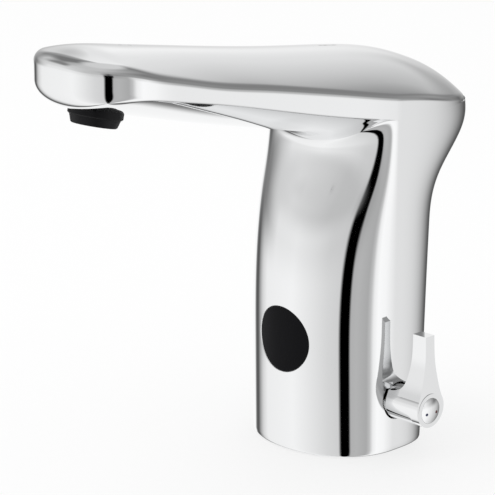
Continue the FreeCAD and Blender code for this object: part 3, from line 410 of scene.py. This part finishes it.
# %% [markdown]
# ### Outlines seen from above
# All rings of the net have the same number of points, so that they join up. Behind, the points
# follow the pillar's back. In front, a ring is the pillar's front below the spout and the
# spout's own outline above it. More points gather where the outline turns, at the corners of
# the tip.


# %% Outlines
TIP_POINTS, BACK_POINTS = 9, 11
CORNER_CROWDING = 9.0
OUTLINE_SAMPLES, HALF_SAMPLES = 3000, 2000


def superellipse(depth, power, angles):
    across, along = np.cos(angles), np.clip(np.sin(angles), 0, 1)
    return np.stack([np.sign(across) * np.abs(across) ** (2 / power),
                     depth * along ** (2 / power)], 1)


def spaced(line, count, corners=0.0):
    """count places along a line, closer together where it turns."""
    steps = np.linalg.norm(np.diff(line, axis=0), axis=1)
    heading = np.diff(line, axis=0) / steps[:, None]
    turning = np.linalg.norm(np.diff(heading, axis=0, prepend=heading[:1]), axis=1)
    travelled = np.concatenate([[0], np.cumsum(steps + corners * turning)])
    wanted = np.linspace(0, travelled[-1], count)
    return np.stack([np.interp(wanted, travelled, line[:, k]) for k in (0, 1)], 1)


def spout_outline(count):
    """From the widest line on the right, round the tip, to the widest line on the left."""
    tip = superellipse(SPOUT_REACH - TIP_START, TIP_POWER,
                       np.linspace(0, math.pi, TIP_POINTS))
    tip = tip * (TIP_HALF_WIDTH, -1) - (0, TIP_START)
    right = np.array([(HALF_WIDTH, 0)] + [(width, -reach) for reach, width in SIDES])
    back = superellipse(HEAD_BACK, BACK_POWER, np.linspace(math.pi, 0, BACK_POINTS))
    back = back[1:-1] * (HALF_WIDTH, 1)
    loop = np.vstack([right, tip, right[::-1] * (-1, 1), back])
    lengths = np.linalg.norm(np.roll(loop, -1, 0) - loop, axis=1)
    round_trip = lengths.sum()
    travelled = np.concatenate([[0], np.cumsum(lengths)[:-1]])
    laps = np.concatenate([travelled - round_trip, travelled, travelled + round_trip])
    stations = np.column_stack([laps, np.tile(loop, (3, 1))])
    end = travelled[2 * len(right) + len(tip) - 1]
    at = np.linspace(0, end, OUTLINE_SAMPLES)
    line = np.column_stack([through(stations, 1)(at), through(stations, 2)(at)])
    return spaced(line, count, corners=CORNER_CROWDING)


# %% The rings' points
FRONT_COUNT, BACK_COUNT = 220, 100
USUAL_FRONT, USUAL_BACK = 26.0, 48.0
half_turn = np.linspace(0, math.pi, HALF_SAMPLES)
front_line = superellipse(USUAL_FRONT, FRONT_POWER, half_turn) * (HALF_WIDTH, -1)
back_line = superellipse(USUAL_BACK, BACK_POWER, half_turn[::-1]) * (HALF_WIDTH, 1)
front_unit = spaced(front_line, FRONT_COUNT + 1)[:-1] / (1, USUAL_FRONT)
back_unit = spaced(back_line, BACK_COUNT + 1)[:-1] / (1, USUAL_BACK)
head = np.vstack([spout_outline(FRONT_COUNT + 1)[:-1], back_unit * (1, HEAD_BACK)])
RING = len(head)
heading = np.roll(head, -1, 0) - np.roll(head, 1, 0)
heading /= np.linalg.norm(heading, axis=1)[:, None]
inward = np.column_stack([heading[:, 1], -heading[:, 0]])
print("points in a ring:", RING, "spout reach, mm:", round(-head[:, 1].min(), 2))


def pillar_ring(height, inset=0.0):
    """One ring of the pillar; the height may differ from point to point."""
    height = np.broadcast_to(np.asarray(height, float), (RING,))
    front = front_unit[:, 1] * (front_depth(height[:FRONT_COUNT]) - inset)
    back = back_unit[:, 1] * (back_depth(height[FRONT_COUNT:]) - inset)
    y = np.concatenate([front, back])
    x = np.concatenate([front_unit[:, 0], back_unit[:, 0]]) * (1 - inset / HALF_WIDTH)
    return np.column_stack([x, y, height])


# %% [markdown]
# ### Rounded edges
# Two edges run round the spout: the rim, where its side turns into the crown, and the lower
# edge, where the side turns under into the keel. Each is an arc in the upright plane across
# the outline. The arc touches the side below and the curved surface beyond it, so its end is
# found in a few rounds.


# %% Arcs between the side and the crown or the keel
NUDGE = 1e-3
TOUCH_ROUNDS = 12
RIM_ROWS, EDGE_ROWS = 13, 10


def edge_arcs(radius, height, way, count):
    """Rings of the rounding, from the side on; way is 1 under a roof and -1 over a floor."""
    touch = radius.copy()
    for _ in range(TOUCH_ROUNDS):
        place = head + inward * touch[:, None]
        beyond = place + inward * NUDGE
        level = height(place[:, 0], place[:, 1])
        slope = (height(beyond[:, 0], beyond[:, 1]) - level) / NUDGE
        root = np.sqrt(1 + slope ** 2)
        touch = radius - way * radius * slope / root
    centre = level + slope * (radius - touch) - way * radius * root
    end = np.arctan2(1 / root, -way * slope / root)
    rings = []
    for step in np.linspace(0, 1, count):
        angle = math.pi + (end - math.pi) * step
        place = head + inward * (radius * (1 + np.cos(angle)))[:, None]
        rings.append(np.column_stack([place, centre + way * radius * np.sin(angle)]))
    return rings


reach = -head[:, 1]
rim_radius = RIM_SIDE + (RIM_TIP - RIM_SIDE) * fade(reach, *RIM_CHANGES)
edge_radius = EDGE_ROOT + (EDGE_SIDE - EDGE_ROOT) * fade(reach, *EDGE_OPENS) \
    + (EDGE_TIP - EDGE_SIDE) * fade(reach, *EDGE_CHANGES)
rim = edge_arcs(rim_radius, crown, 1, RIM_ROWS)
edge = edge_arcs(edge_radius, keel, -1, EDGE_ROWS)[::-1]
print("rim from", round(rim[0][:, 2].min(), 1), "to", round(rim[-1][:, 2].max(), 1), "mm")

# %% [markdown]
# ### Where the pillar meets the belly
# The pillar's front runs into the keel along a crease. The crease is found by letting each
# point of the front climb until it is as high as the keel above it. Towards the sides the
# belly narrows to nothing, so its rings close up and fade into the side.

# %% The crease
CREASE_START = 112.0
CREASE_ROUNDS = 40
BACK_DROP = 14
crease_height = np.full(RING, CREASE_START)
for _ in range(CREASE_ROUNDS):
    front = pillar_ring(crease_height)[:FRONT_COUNT]
    crease_height[:FRONT_COUNT] += 0.5 * (keel(*front[:, :2].T) - crease_height[:FRONT_COUNT])
side_height = crease_height[0]
behind = fade(HALF_WIDTH - np.abs(back_unit[:, 0]), 0, 6) * 0.5 + fade(back_unit[:, 1], 0, 1) * 0.5
crease_height[FRONT_COUNT:] = side_height - BACK_DROP * behind
crease = pillar_ring(crease_height)
print("crease from", round(crease_height[:FRONT_COUNT].min(), 1), "to", round(side_height, 1), "mm")

# %% Belly and side

side_start = edge[-1].copy()
side_start[FRONT_COUNT:, 2] = edge[-1][0, 2]
start_depth = back_depth(side_start[FRONT_COUNT:, 2])
side_start[FRONT_COUNT:, 1] = back_unit[:, 1] * start_depth

BELLY_OPENS = (0, 22)
BELLY_ROWS, SIDE_ROWS = 30, 14
belly_share = fade(reach, *BELLY_OPENS)[:, None]
under = []
for step in np.linspace(0, 1, BELLY_ROWS)[1:-1]:
    place = crease[:, :2] * (1 - step) + edge[0][:, :2] * step
    under.append(np.column_stack([place, keel(place[:, 0], place[:, 1])]))
under += edge[:-1]
belly = []
for number, ring in enumerate(under, 1):
    step = number / (len(under) + 1)
    plain = crease * (1 - step) + side_start * step
    plain[FRONT_COUNT:, 1] = back_unit[:, 1] * back_depth(plain[FRONT_COUNT:, 2])
    belly.append(ring * belly_share + plain * (1 - belly_share))

side = []
for step in np.linspace(0, 1, SIDE_ROWS)[:-1]:
    ring = side_start * (1 - step) + rim[0] * step
    lean = back_depth(ring[FRONT_COUNT:, 2]) - back_depth(rim[0][FRONT_COUNT:, 2]) * step \
        - start_depth * (1 - step)
    ring[FRONT_COUNT:, 1] += back_unit[:, 1] * lean
    side.append(ring)
print("rings of the belly:", len(belly), "and of the side:", len(side))

# %% [markdown]
# ### All rings, from the inside of the foot to the ridge
# The net starts on the inside wall, turns under the foot with a small rounding, climbs the
# pillar and ends on the ridge of the crown. The crease is then relaxed a little along the
# net's upright lines, which gives it the small radius that a casting has.

# %% Rings of the inside, the foot and the pillar
CAVITY_TOP = 108.0
CEILING_SHARES = (0.001, 0.5, 0.85)
INSIDE_ROWS, PILLAR_ROWS, CROWN_ROWS = 16, 90, 46
FOOT_ROUND = 0.8
inside = [pillar_ring(CAVITY_TOP, WALL) * (share, share, 1) for share in CEILING_SHARES]
inside += [pillar_ring(height, WALL) for height in np.linspace(CAVITY_TOP, 0, INSIDE_ROWS)]
foot = []
for angle in np.radians((0, 30, 60, 90)):
    ring = pillar_ring(0, FOOT_ROUND * (1 - math.sin(angle)))
    ring[:, 2] = FOOT_ROUND * (1 - math.cos(angle))
    foot.append(ring)
pillar = []
for step in np.linspace(0, 1, PILLAR_ROWS)[1:]:
    pillar.append(pillar_ring(FOOT_ROUND + (crease_height - FOOT_ROUND) * step))
print("rings up to the crease:", len(inside + foot + pillar))

# %% Rings of the crown, and the crease relaxed
RIDGE_START, RIDGE_END = -102.0, 24.0
ridge_y = np.clip(rim[-1][:, 1], RIDGE_START, RIDGE_END)
across_crown = []
for step in np.linspace(0, 1, CROWN_ROWS)[1:]:
    x = rim[-1][:, 0] * (1 - step)
    y = rim[-1][:, 1] * (1 - step) + ridge_y * step
    across_crown.append(np.column_stack([x, y, crown(x, y)]))

rings = np.array(inside + foot + pillar + belly + side + rim + across_crown)
crease_row = len(inside + foot + pillar) - 1
EASE_ROUNDS, EASE_ROWS, EASE_ANGLE = 10, 5, 1.4
first, last = crease_row - EASE_ROWS, crease_row + EASE_ROWS
ease = np.cos(np.linspace(-EASE_ANGLE, EASE_ANGLE, 2 * EASE_ROWS + 1))[:, None, None] * belly_share
for _ in range(EASE_ROUNDS):
    rows = rings[first:last + 1]
    above, below = rings[first + 1:last + 2], rings[first - 1:last]
    relaxed = rows * 0.5 + (above + below) * 0.25
    rows += (relaxed - rows) * ease
print("rings:", len(rings), "points:", rings.shape[0] * RING)


# %% [markdown]
# ### From rings to a mesh
# Neighbouring rings are joined by four-sided faces. The few points that fall together at the
# ends of the ridge are merged, any opening is closed, and only edges that turn by more than
# the given angle, such as the foot's, are kept sharp.


# %% The skin as a mesh
MERGE_WITHIN = 0.002
SHARP_FROM = 38


def net_mesh(name, rings):
    rows, columns = rings.shape[:2]
    number = np.arange(rows * columns).reshape(rows, columns)
    following = np.roll(number, -1, 1)
    faces = np.stack([number[:-1], following[:-1], following[1:], number[1:]], 2).reshape(-1, 4)
    mesh = bpy.data.meshes.new(name)
    mesh.from_pydata((rings.reshape(-1, 3) * MM).tolist(), [], faces.tolist())
    return mesh


def linked(name, mesh, *materials):
    piece = bpy.data.objects.new(name, mesh)
    bpy.context.scene.collection.objects.link(piece)
    for material in materials:
        mesh.materials.append(material)
    return piece


skin_mesh = net_mesh("casting_skin", rings)
net = bmesh.new()
net.from_mesh(skin_mesh)
bmesh.ops.remove_doubles(net, verts=net.verts, dist=MERGE_WITHIN * MM)
bmesh.ops.recalc_face_normals(net, faces=net.faces)
open_edges = [edge_of_hole for edge_of_hole in net.edges if edge_of_hole.is_boundary]
bmesh.ops.holes_fill(net, edges=open_edges, sides=0)
net.to_mesh(skin_mesh)
net.free()
skin_mesh.shade_smooth()
skin_mesh.set_sharp_from_angle(angle=math.radians(SHARP_FROM))
casting_skin = linked("casting_skin", skin_mesh, chrome)
print("skin faces:", len(skin_mesh.polygons))

# %% [markdown]
# ### Holes in the skin
# The window, the lever's stem and the aerator each sit in a round hole. A Boolean cuts them
# with plain cylinders, but it also disturbs the smooth shading beside each cut. So the uncut
# skin is kept as a guide, and a Data Transfer modifier copies its shading normals back onto
# the cut one.

# %% Cutting the holes
WINDOW_HEIGHT = 40.8
WINDOW_HOLE = 12.1
LEVER_AXIS = (2.2, 18.6)
STEM_HOLE = 6.9
AERATOR_REACH = 110.93
AERATOR_TILT = 0.23
AERATOR_DEPTH = 1.66
COLLAR_HOLE = 9.28
COLLAR_CUT, PAST_THE_SKIN = 9, 0.5
NORMALS_WITHIN = 0.01


def cylinder(name, start, direction, radius, length, segments=128):
    mesh = bpy.data.meshes.new(name)
    shape = bmesh.new()
    bmesh.ops.create_cone(shape, cap_ends=True, segments=segments, radius1=radius * MM,
                          radius2=radius * MM, depth=length * MM)
    turn = Vector(direction).to_track_quat("Z", "Y").to_matrix().to_4x4()
    middle = Matrix.Translation((Vector(start) + Vector(direction).normalized() * length / 2) * MM)
    bmesh.ops.transform(shape, matrix=middle @ turn, verts=shape.verts)
    shape.to_mesh(mesh)
    shape.free()
    return linked(name, mesh)


aerator_down = Vector((0, -math.sin(AERATOR_TILT), -math.cos(AERATOR_TILT)))
aerator_seat = Vector((0, -AERATOR_REACH, float(keel(0, -AERATOR_REACH)) + AERATOR_DEPTH))
cutters = [
    cylinder("window_cutter", start=(0, -12, WINDOW_HEIGHT), direction=(0, -1, 0),
             radius=WINDOW_HOLE, length=30),
    cylinder("stem_cutter", start=(20, *LEVER_AXIS), direction=(1, 0, 0),
             radius=STEM_HOLE, length=20),
    cylinder("aerator_cutter", start=aerator_seat + aerator_down * COLLAR_CUT,
             direction=-aerator_down, radius=COLLAR_HOLE, length=COLLAR_CUT + PAST_THE_SKIN),
]
guide = linked("skin_guide", skin_mesh.copy())
for cutter in cutters:
    cut = casting_skin.modifiers.new(cutter.name, "BOOLEAN")
    cut.operation = "DIFFERENCE"
    cut.solver = "EXACT"
    cut.object = cutter
transfer = casting_skin.modifiers.new("normals", "DATA_TRANSFER")
transfer.object = guide
transfer.use_loop_data = True
transfer.data_types_loops = {"CUSTOM_NORMAL"}
transfer.loop_mapping = "POLYINTERP_NEAREST"
transfer.use_max_distance = True
transfer.max_distance = NORMALS_WITHIN * MM
print("cutters:", [cutter.name for cutter in cutters])

# %% The cut skin takes the casting's place
bpy.context.view_layer.update()
finished = casting_skin.evaluated_get(bpy.context.evaluated_depsgraph_get())
cut_mesh = bpy.data.meshes.new_from_object(finished)
casting_skin.modifiers.clear()
casting_skin.data = cut_mesh
for helper in cutters + [guide]:
    bpy.data.objects.remove(helper)
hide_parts("body_casting")
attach(casting_skin, "casting")
print("skin after the cuts:", len(cut_mesh.polygons), "faces")

# %% [markdown]
# ## The plunger's spring
# When the valve's plunger lifts, the little spring above it is pressed shorter. Here it gets a
# plain copy of its own coil, which takes the imported coil's place and goes with the casting.

# %% The plunger's spring
spring_mesh = nodes["plunger_spring"].data.copy()
spring_coil = linked("spring_coil", spring_mesh)
spring_coil.matrix_world = nodes["plunger_spring"].matrix_world.copy()
bpy.context.view_layer.update()
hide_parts("plunger_spring")
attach(spring_coil, "casting")
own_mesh(spring_coil)

# %% [markdown]
# ## Floor
# The tap stands on a plain pale floor, as on a photographer's table. A lit white floor would
# come out grey and uneven, so most of its white, as the camera and the mirrors see it, is its
# own. The rest is an ordinary lit surface, which keeps the soft shadow under the tap.


# %% Floor
FLOOR_SIZE = 12.0
FLOOR_DROP = 0.3
OWN_WHITE_SHARE = 0.7


def floor_white():
    material = new_material("floor_white", (0.9, 0.9, 0.9), 0.6)
    tree, link = material.node_tree, material.node_tree.links.new
    shader = tree.nodes["Principled BSDF"]
    vary(material, noise(material, scale=40, detail=3), "Roughness", low=0.55, high=0.7)
    own_white = add(material, "Emission", Strength=1.0)
    seen = seen_directly(tree)
    share = add(material, "Math", operation="MULTIPLY")
    share.inputs[1].default_value = OWN_WHITE_SHARE
    mix = add(material, "MixShader")
    link(seen, share.inputs[0])
    link(share.outputs[0], mix.inputs[0])
    link(shader.outputs[0], mix.inputs[1])
    link(own_white.outputs[0], mix.inputs[2])
    link(mix.outputs[0], tree.nodes["Material Output"].inputs["Surface"])
    return material


def seen_directly(tree):
    """1 for rays from the camera, and for those that metal or glass passes on."""
    path = tree.nodes.new("ShaderNodeLightPath")
    most = path.outputs["Is Camera Ray"]
    for name in ("Is Glossy Ray", "Is Transmission Ray"):
        larger = tree.nodes.new("ShaderNodeMath")
        larger.operation = "MAXIMUM"
        tree.links.new(most, larger.inputs[0])
        tree.links.new(path.outputs[name], larger.inputs[1])
        most = larger.outputs[0]
    return most


half = FLOOR_SIZE / 2
corners = [(-half, -half, 0), (half, -half, 0), (half, half, 0), (-half, half, 0)]
floor_mesh = bpy.data.meshes.new("floor")
floor_mesh.from_pydata(corners, [], [(0, 1, 2, 3)])
floor = linked("floor", floor_mesh, floor_white())
floor.location.z = -FLOOR_DROP * MM
floor.visible_glossy = False
print("floor, m:", FLOOR_SIZE)

# %% [markdown]
# ## The light tent
# Chrome has no colour of its own: it shows the room. Taps are photographed in a white tent,
# and the dark stripe down the pillar is the tent's slit, where the camera looks in. The world
# here is that tent, drawn by direction only, as five rings of card above each other. Real
# cards around the tap would do the same, but a ramp of grey is easier to move by a degree.
# Each ring is such a ramp round the horizon, and the height blends one ring into the next, up
# to a pale roof. Upright walls show the lowest ring, and the rounded rim and the crown show
# the ones above it.

# %% The rings of the tent
# Azimuth in degrees from the spout's direction towards the lever, and shade.
WALL_RING = (
    (-180, 0.22), (-168, 0.11), (-152, 0.11), (-146, 0.3), (-140, 1.0), (-108, 1.05), (-103, 0.3),
    (-98, 0.1), (-92, 0.12), (-86, 0.4), (-78, 0.75), (-68, 0.97), (-30, 1.03), (-10, 0.93),
    (5, 0.85), (20, 0.77), (37, 0.72), (40, 0.0), (54, 0.0), (56.5, 0.5), (66, 0.52), (84, 0.46),
    (90, 0.6), (96, 0.97), (104, 1.1), (118, 1.06), (132, 0.92), (146, 0.76), (158, 0.58),
    (168, 0.4),
)
LOW_RING = (
    (-180, 0.15), (-160, 0.4), (-145, 0.7), (-138, 0.86), (-128, 0.6), (-110, 0.4), (-95, 0.22),
    (-85, 0.25), (-75, 0.42), (-65, 0.66), (-55, 0.88), (-30, 0.93), (-5, 0.82), (15, 0.7),
    (36, 0.66), (40, 0.0), (56, 0.0), (59, 0.4), (84, 0.46), (96, 0.8), (112, 0.95), (122, 0.75),
    (136, 0.45), (146, 0.22), (165, 0.26),
)
MIDDLE_RING = (
    (-180, 0.26), (-165, 0.42), (-155, 0.55), (-145, 0.85), (-136, 1.0), (-126, 0.75), (-112, 0.4),
    (-95, 0.35), (-82, 0.5), (-65, 0.7), (-45, 0.78), (-25, 0.7), (0, 0.59), (30, 0.57), (41, 0.3),
    (48, 0.12), (58, 0.3), (90, 0.35), (125, 0.35), (136, 0.26), (155, 0.34), (168, 0.26),
)
HIGH_RING = (
    (-180, 0.55), (-165, 0.68), (-155, 0.78), (-145, 0.88), (-128, 0.87), (-121, 0.4), (-105, 0.26),
    (-92, 0.4), (-80, 0.62), (-70, 0.5), (-62, 0.25), (-48, 0.24), (-38, 0.66), (-15, 0.65),
    (20, 0.55), (60, 0.4), (130, 0.22), (160, 0.25), (170, 0.36),
)
UPPER_RING = (
    (-180, 0.46), (-164, 0.72), (-152, 0.95), (-126, 0.95), (-120, 0.4), (-100, 0.2), (-70, 0.2),
    (-55, 0.45), (-30, 0.6), (30, 0.6), (100, 0.4), (140, 0.3), (160, 0.23), (170, 0.32),
)
ROOF_SHADE = 0.7
# From which sine of the height each ring starts to blend into the next, and where it has done so.
BLENDS = ((-0.22, -0.02), (0.02, 0.23), (0.27, 0.46), (0.52, 0.68), (0.82, 0.95))
print("stops round the tap:", len(WALL_RING), "in the lowest ring of", len(BLENDS))


# %% [markdown]
# A world's colour may depend on the direction of the ray alone. The azimuth comes from its two
# level parts with an arc tangent, and the height is its third part, which is the sine of the
# elevation. A colour ramp then turns the azimuth into the grey of the card.


# %% The direction of a ray
def stops(ramp, places):
    elements = ramp.color_ramp.elements
    while len(elements) < len(places):
        elements.new(0.5)
    for element, (position, shade) in zip(elements, places):
        element.position = position
        element.color = (shade, shade, shade, 1)


def turn_share(degrees):
    """Azimuth as a share of the whole turn, from behind over the left, the front and the right."""
    return (degrees + 180) / 360


world = bpy.data.worlds.new("tent")
bpy.context.scene.world = world
world.use_nodes = True
tree, link = world.node_tree, world.node_tree.links.new
tree.nodes.clear()
where = tree.nodes.new("ShaderNodeTexCoord")
direction = tree.nodes.new("ShaderNodeSeparateXYZ")
link(where.outputs["Generated"], direction.inputs[0])
flip = tree.nodes.new("ShaderNodeMath")
flip.operation = "MULTIPLY"
flip.inputs[1].default_value = -1
link(direction.outputs["Y"], flip.inputs[0])
azimuth = tree.nodes.new("ShaderNodeMath")
azimuth.operation = "ARCTAN2"
link(direction.outputs["X"], azimuth.inputs[0])
link(flip.outputs[0], azimuth.inputs[1])
turn = tree.nodes.new("ShaderNodeMapRange")
turn.inputs["From Min"].default_value = -math.pi
turn.inputs["From Max"].default_value = math.pi
link(azimuth.outputs[0], turn.inputs["Value"])
print("the lever's side is at", turn_share(90), "of the turn")


# %% The rings blended by height
def ring_of_card(places):
    """The grey of one ring; its last stop repeats the first, so that it closes behind the tap."""
    ramp = tree.nodes.new("ShaderNodeValToRGB")
    stops(ramp, [(turn_share(degrees), shade) for degrees, shade in places] + [(1, places[0][1])])
    link(turn.outputs["Result"], ramp.inputs["Fac"])
    return ramp.outputs["Color"]


tent = ring_of_card(WALL_RING)
for (start, end), places in zip(BLENDS, (LOW_RING, MIDDLE_RING, HIGH_RING, UPPER_RING, None)):
    blend = tree.nodes.new("ShaderNodeMapRange")
    blend.interpolation_type = "SMOOTHSTEP"
    blend.inputs["From Min"].default_value = start
    blend.inputs["From Max"].default_value = end
    link(direction.outputs["Z"], blend.inputs["Value"])
    upwards = tree.nodes.new("ShaderNodeMix")
    upwards.data_type = "RGBA"
    upwards.inputs[7].default_value = (ROOF_SHADE, ROOF_SHADE, ROOF_SHADE, 1)
    if places:
        link(ring_of_card(places), upwards.inputs[7])
    link(blend.outputs["Result"], upwards.inputs["Factor"])
    link(tent, upwards.inputs[6])
    tent = upwards.outputs[2]

# %% [markdown]
# Only reflections show the tent. To the camera, and as light on matt pieces, the world is
# white.

# %% White for everything but reflections
light_path = tree.nodes.new("ShaderNodeLightPath")
seen_world = tree.nodes.new("ShaderNodeMix")
seen_world.data_type = "RGBA"
seen_world.inputs[6].default_value = (1, 1, 1, 1)
link(light_path.outputs["Is Glossy Ray"], seen_world.inputs["Factor"])
link(tent, seen_world.inputs[7])
background = tree.nodes.new("ShaderNodeBackground")
link(seen_world.outputs[2], background.inputs["Color"])
background.inputs["Strength"].default_value = 1.0
output = tree.nodes.new("ShaderNodeOutputWorld")
link(background.outputs[0], output.inputs["Surface"])
print("nodes of the world:", len(tree.nodes))

# %% [markdown]
# ## One soft lamp
# The white world lights the floor evenly from all around. A broad lamp overhead, to the left,
# gives the tap's shadow a side. It is kept out of reflections, where the tent alone should
# show.


# %% A soft lamp
LAMP_PLACE = (-0.5, -0.4, 1.4)
LAMP_WIDTH = 1.2
LAMP_POWER = 4


def soft_lamp(name, place, size, power):
    data = bpy.data.lights.new(name, "AREA")
    data.shape = "DISK"
    data.size = size
    data.energy = power
    lamp = bpy.data.objects.new(name, data)
    lamp.location = place
    lamp.rotation_euler = (-Vector(place)).to_track_quat("-Z", "Y").to_euler()
    lamp.visible_glossy = False
    bpy.context.scene.collection.objects.link(lamp)


soft_lamp("roof_lamp", LAMP_PLACE, LAMP_WIDTH, LAMP_POWER)
print("lamp, W:", LAMP_POWER, "at", LAMP_PLACE)
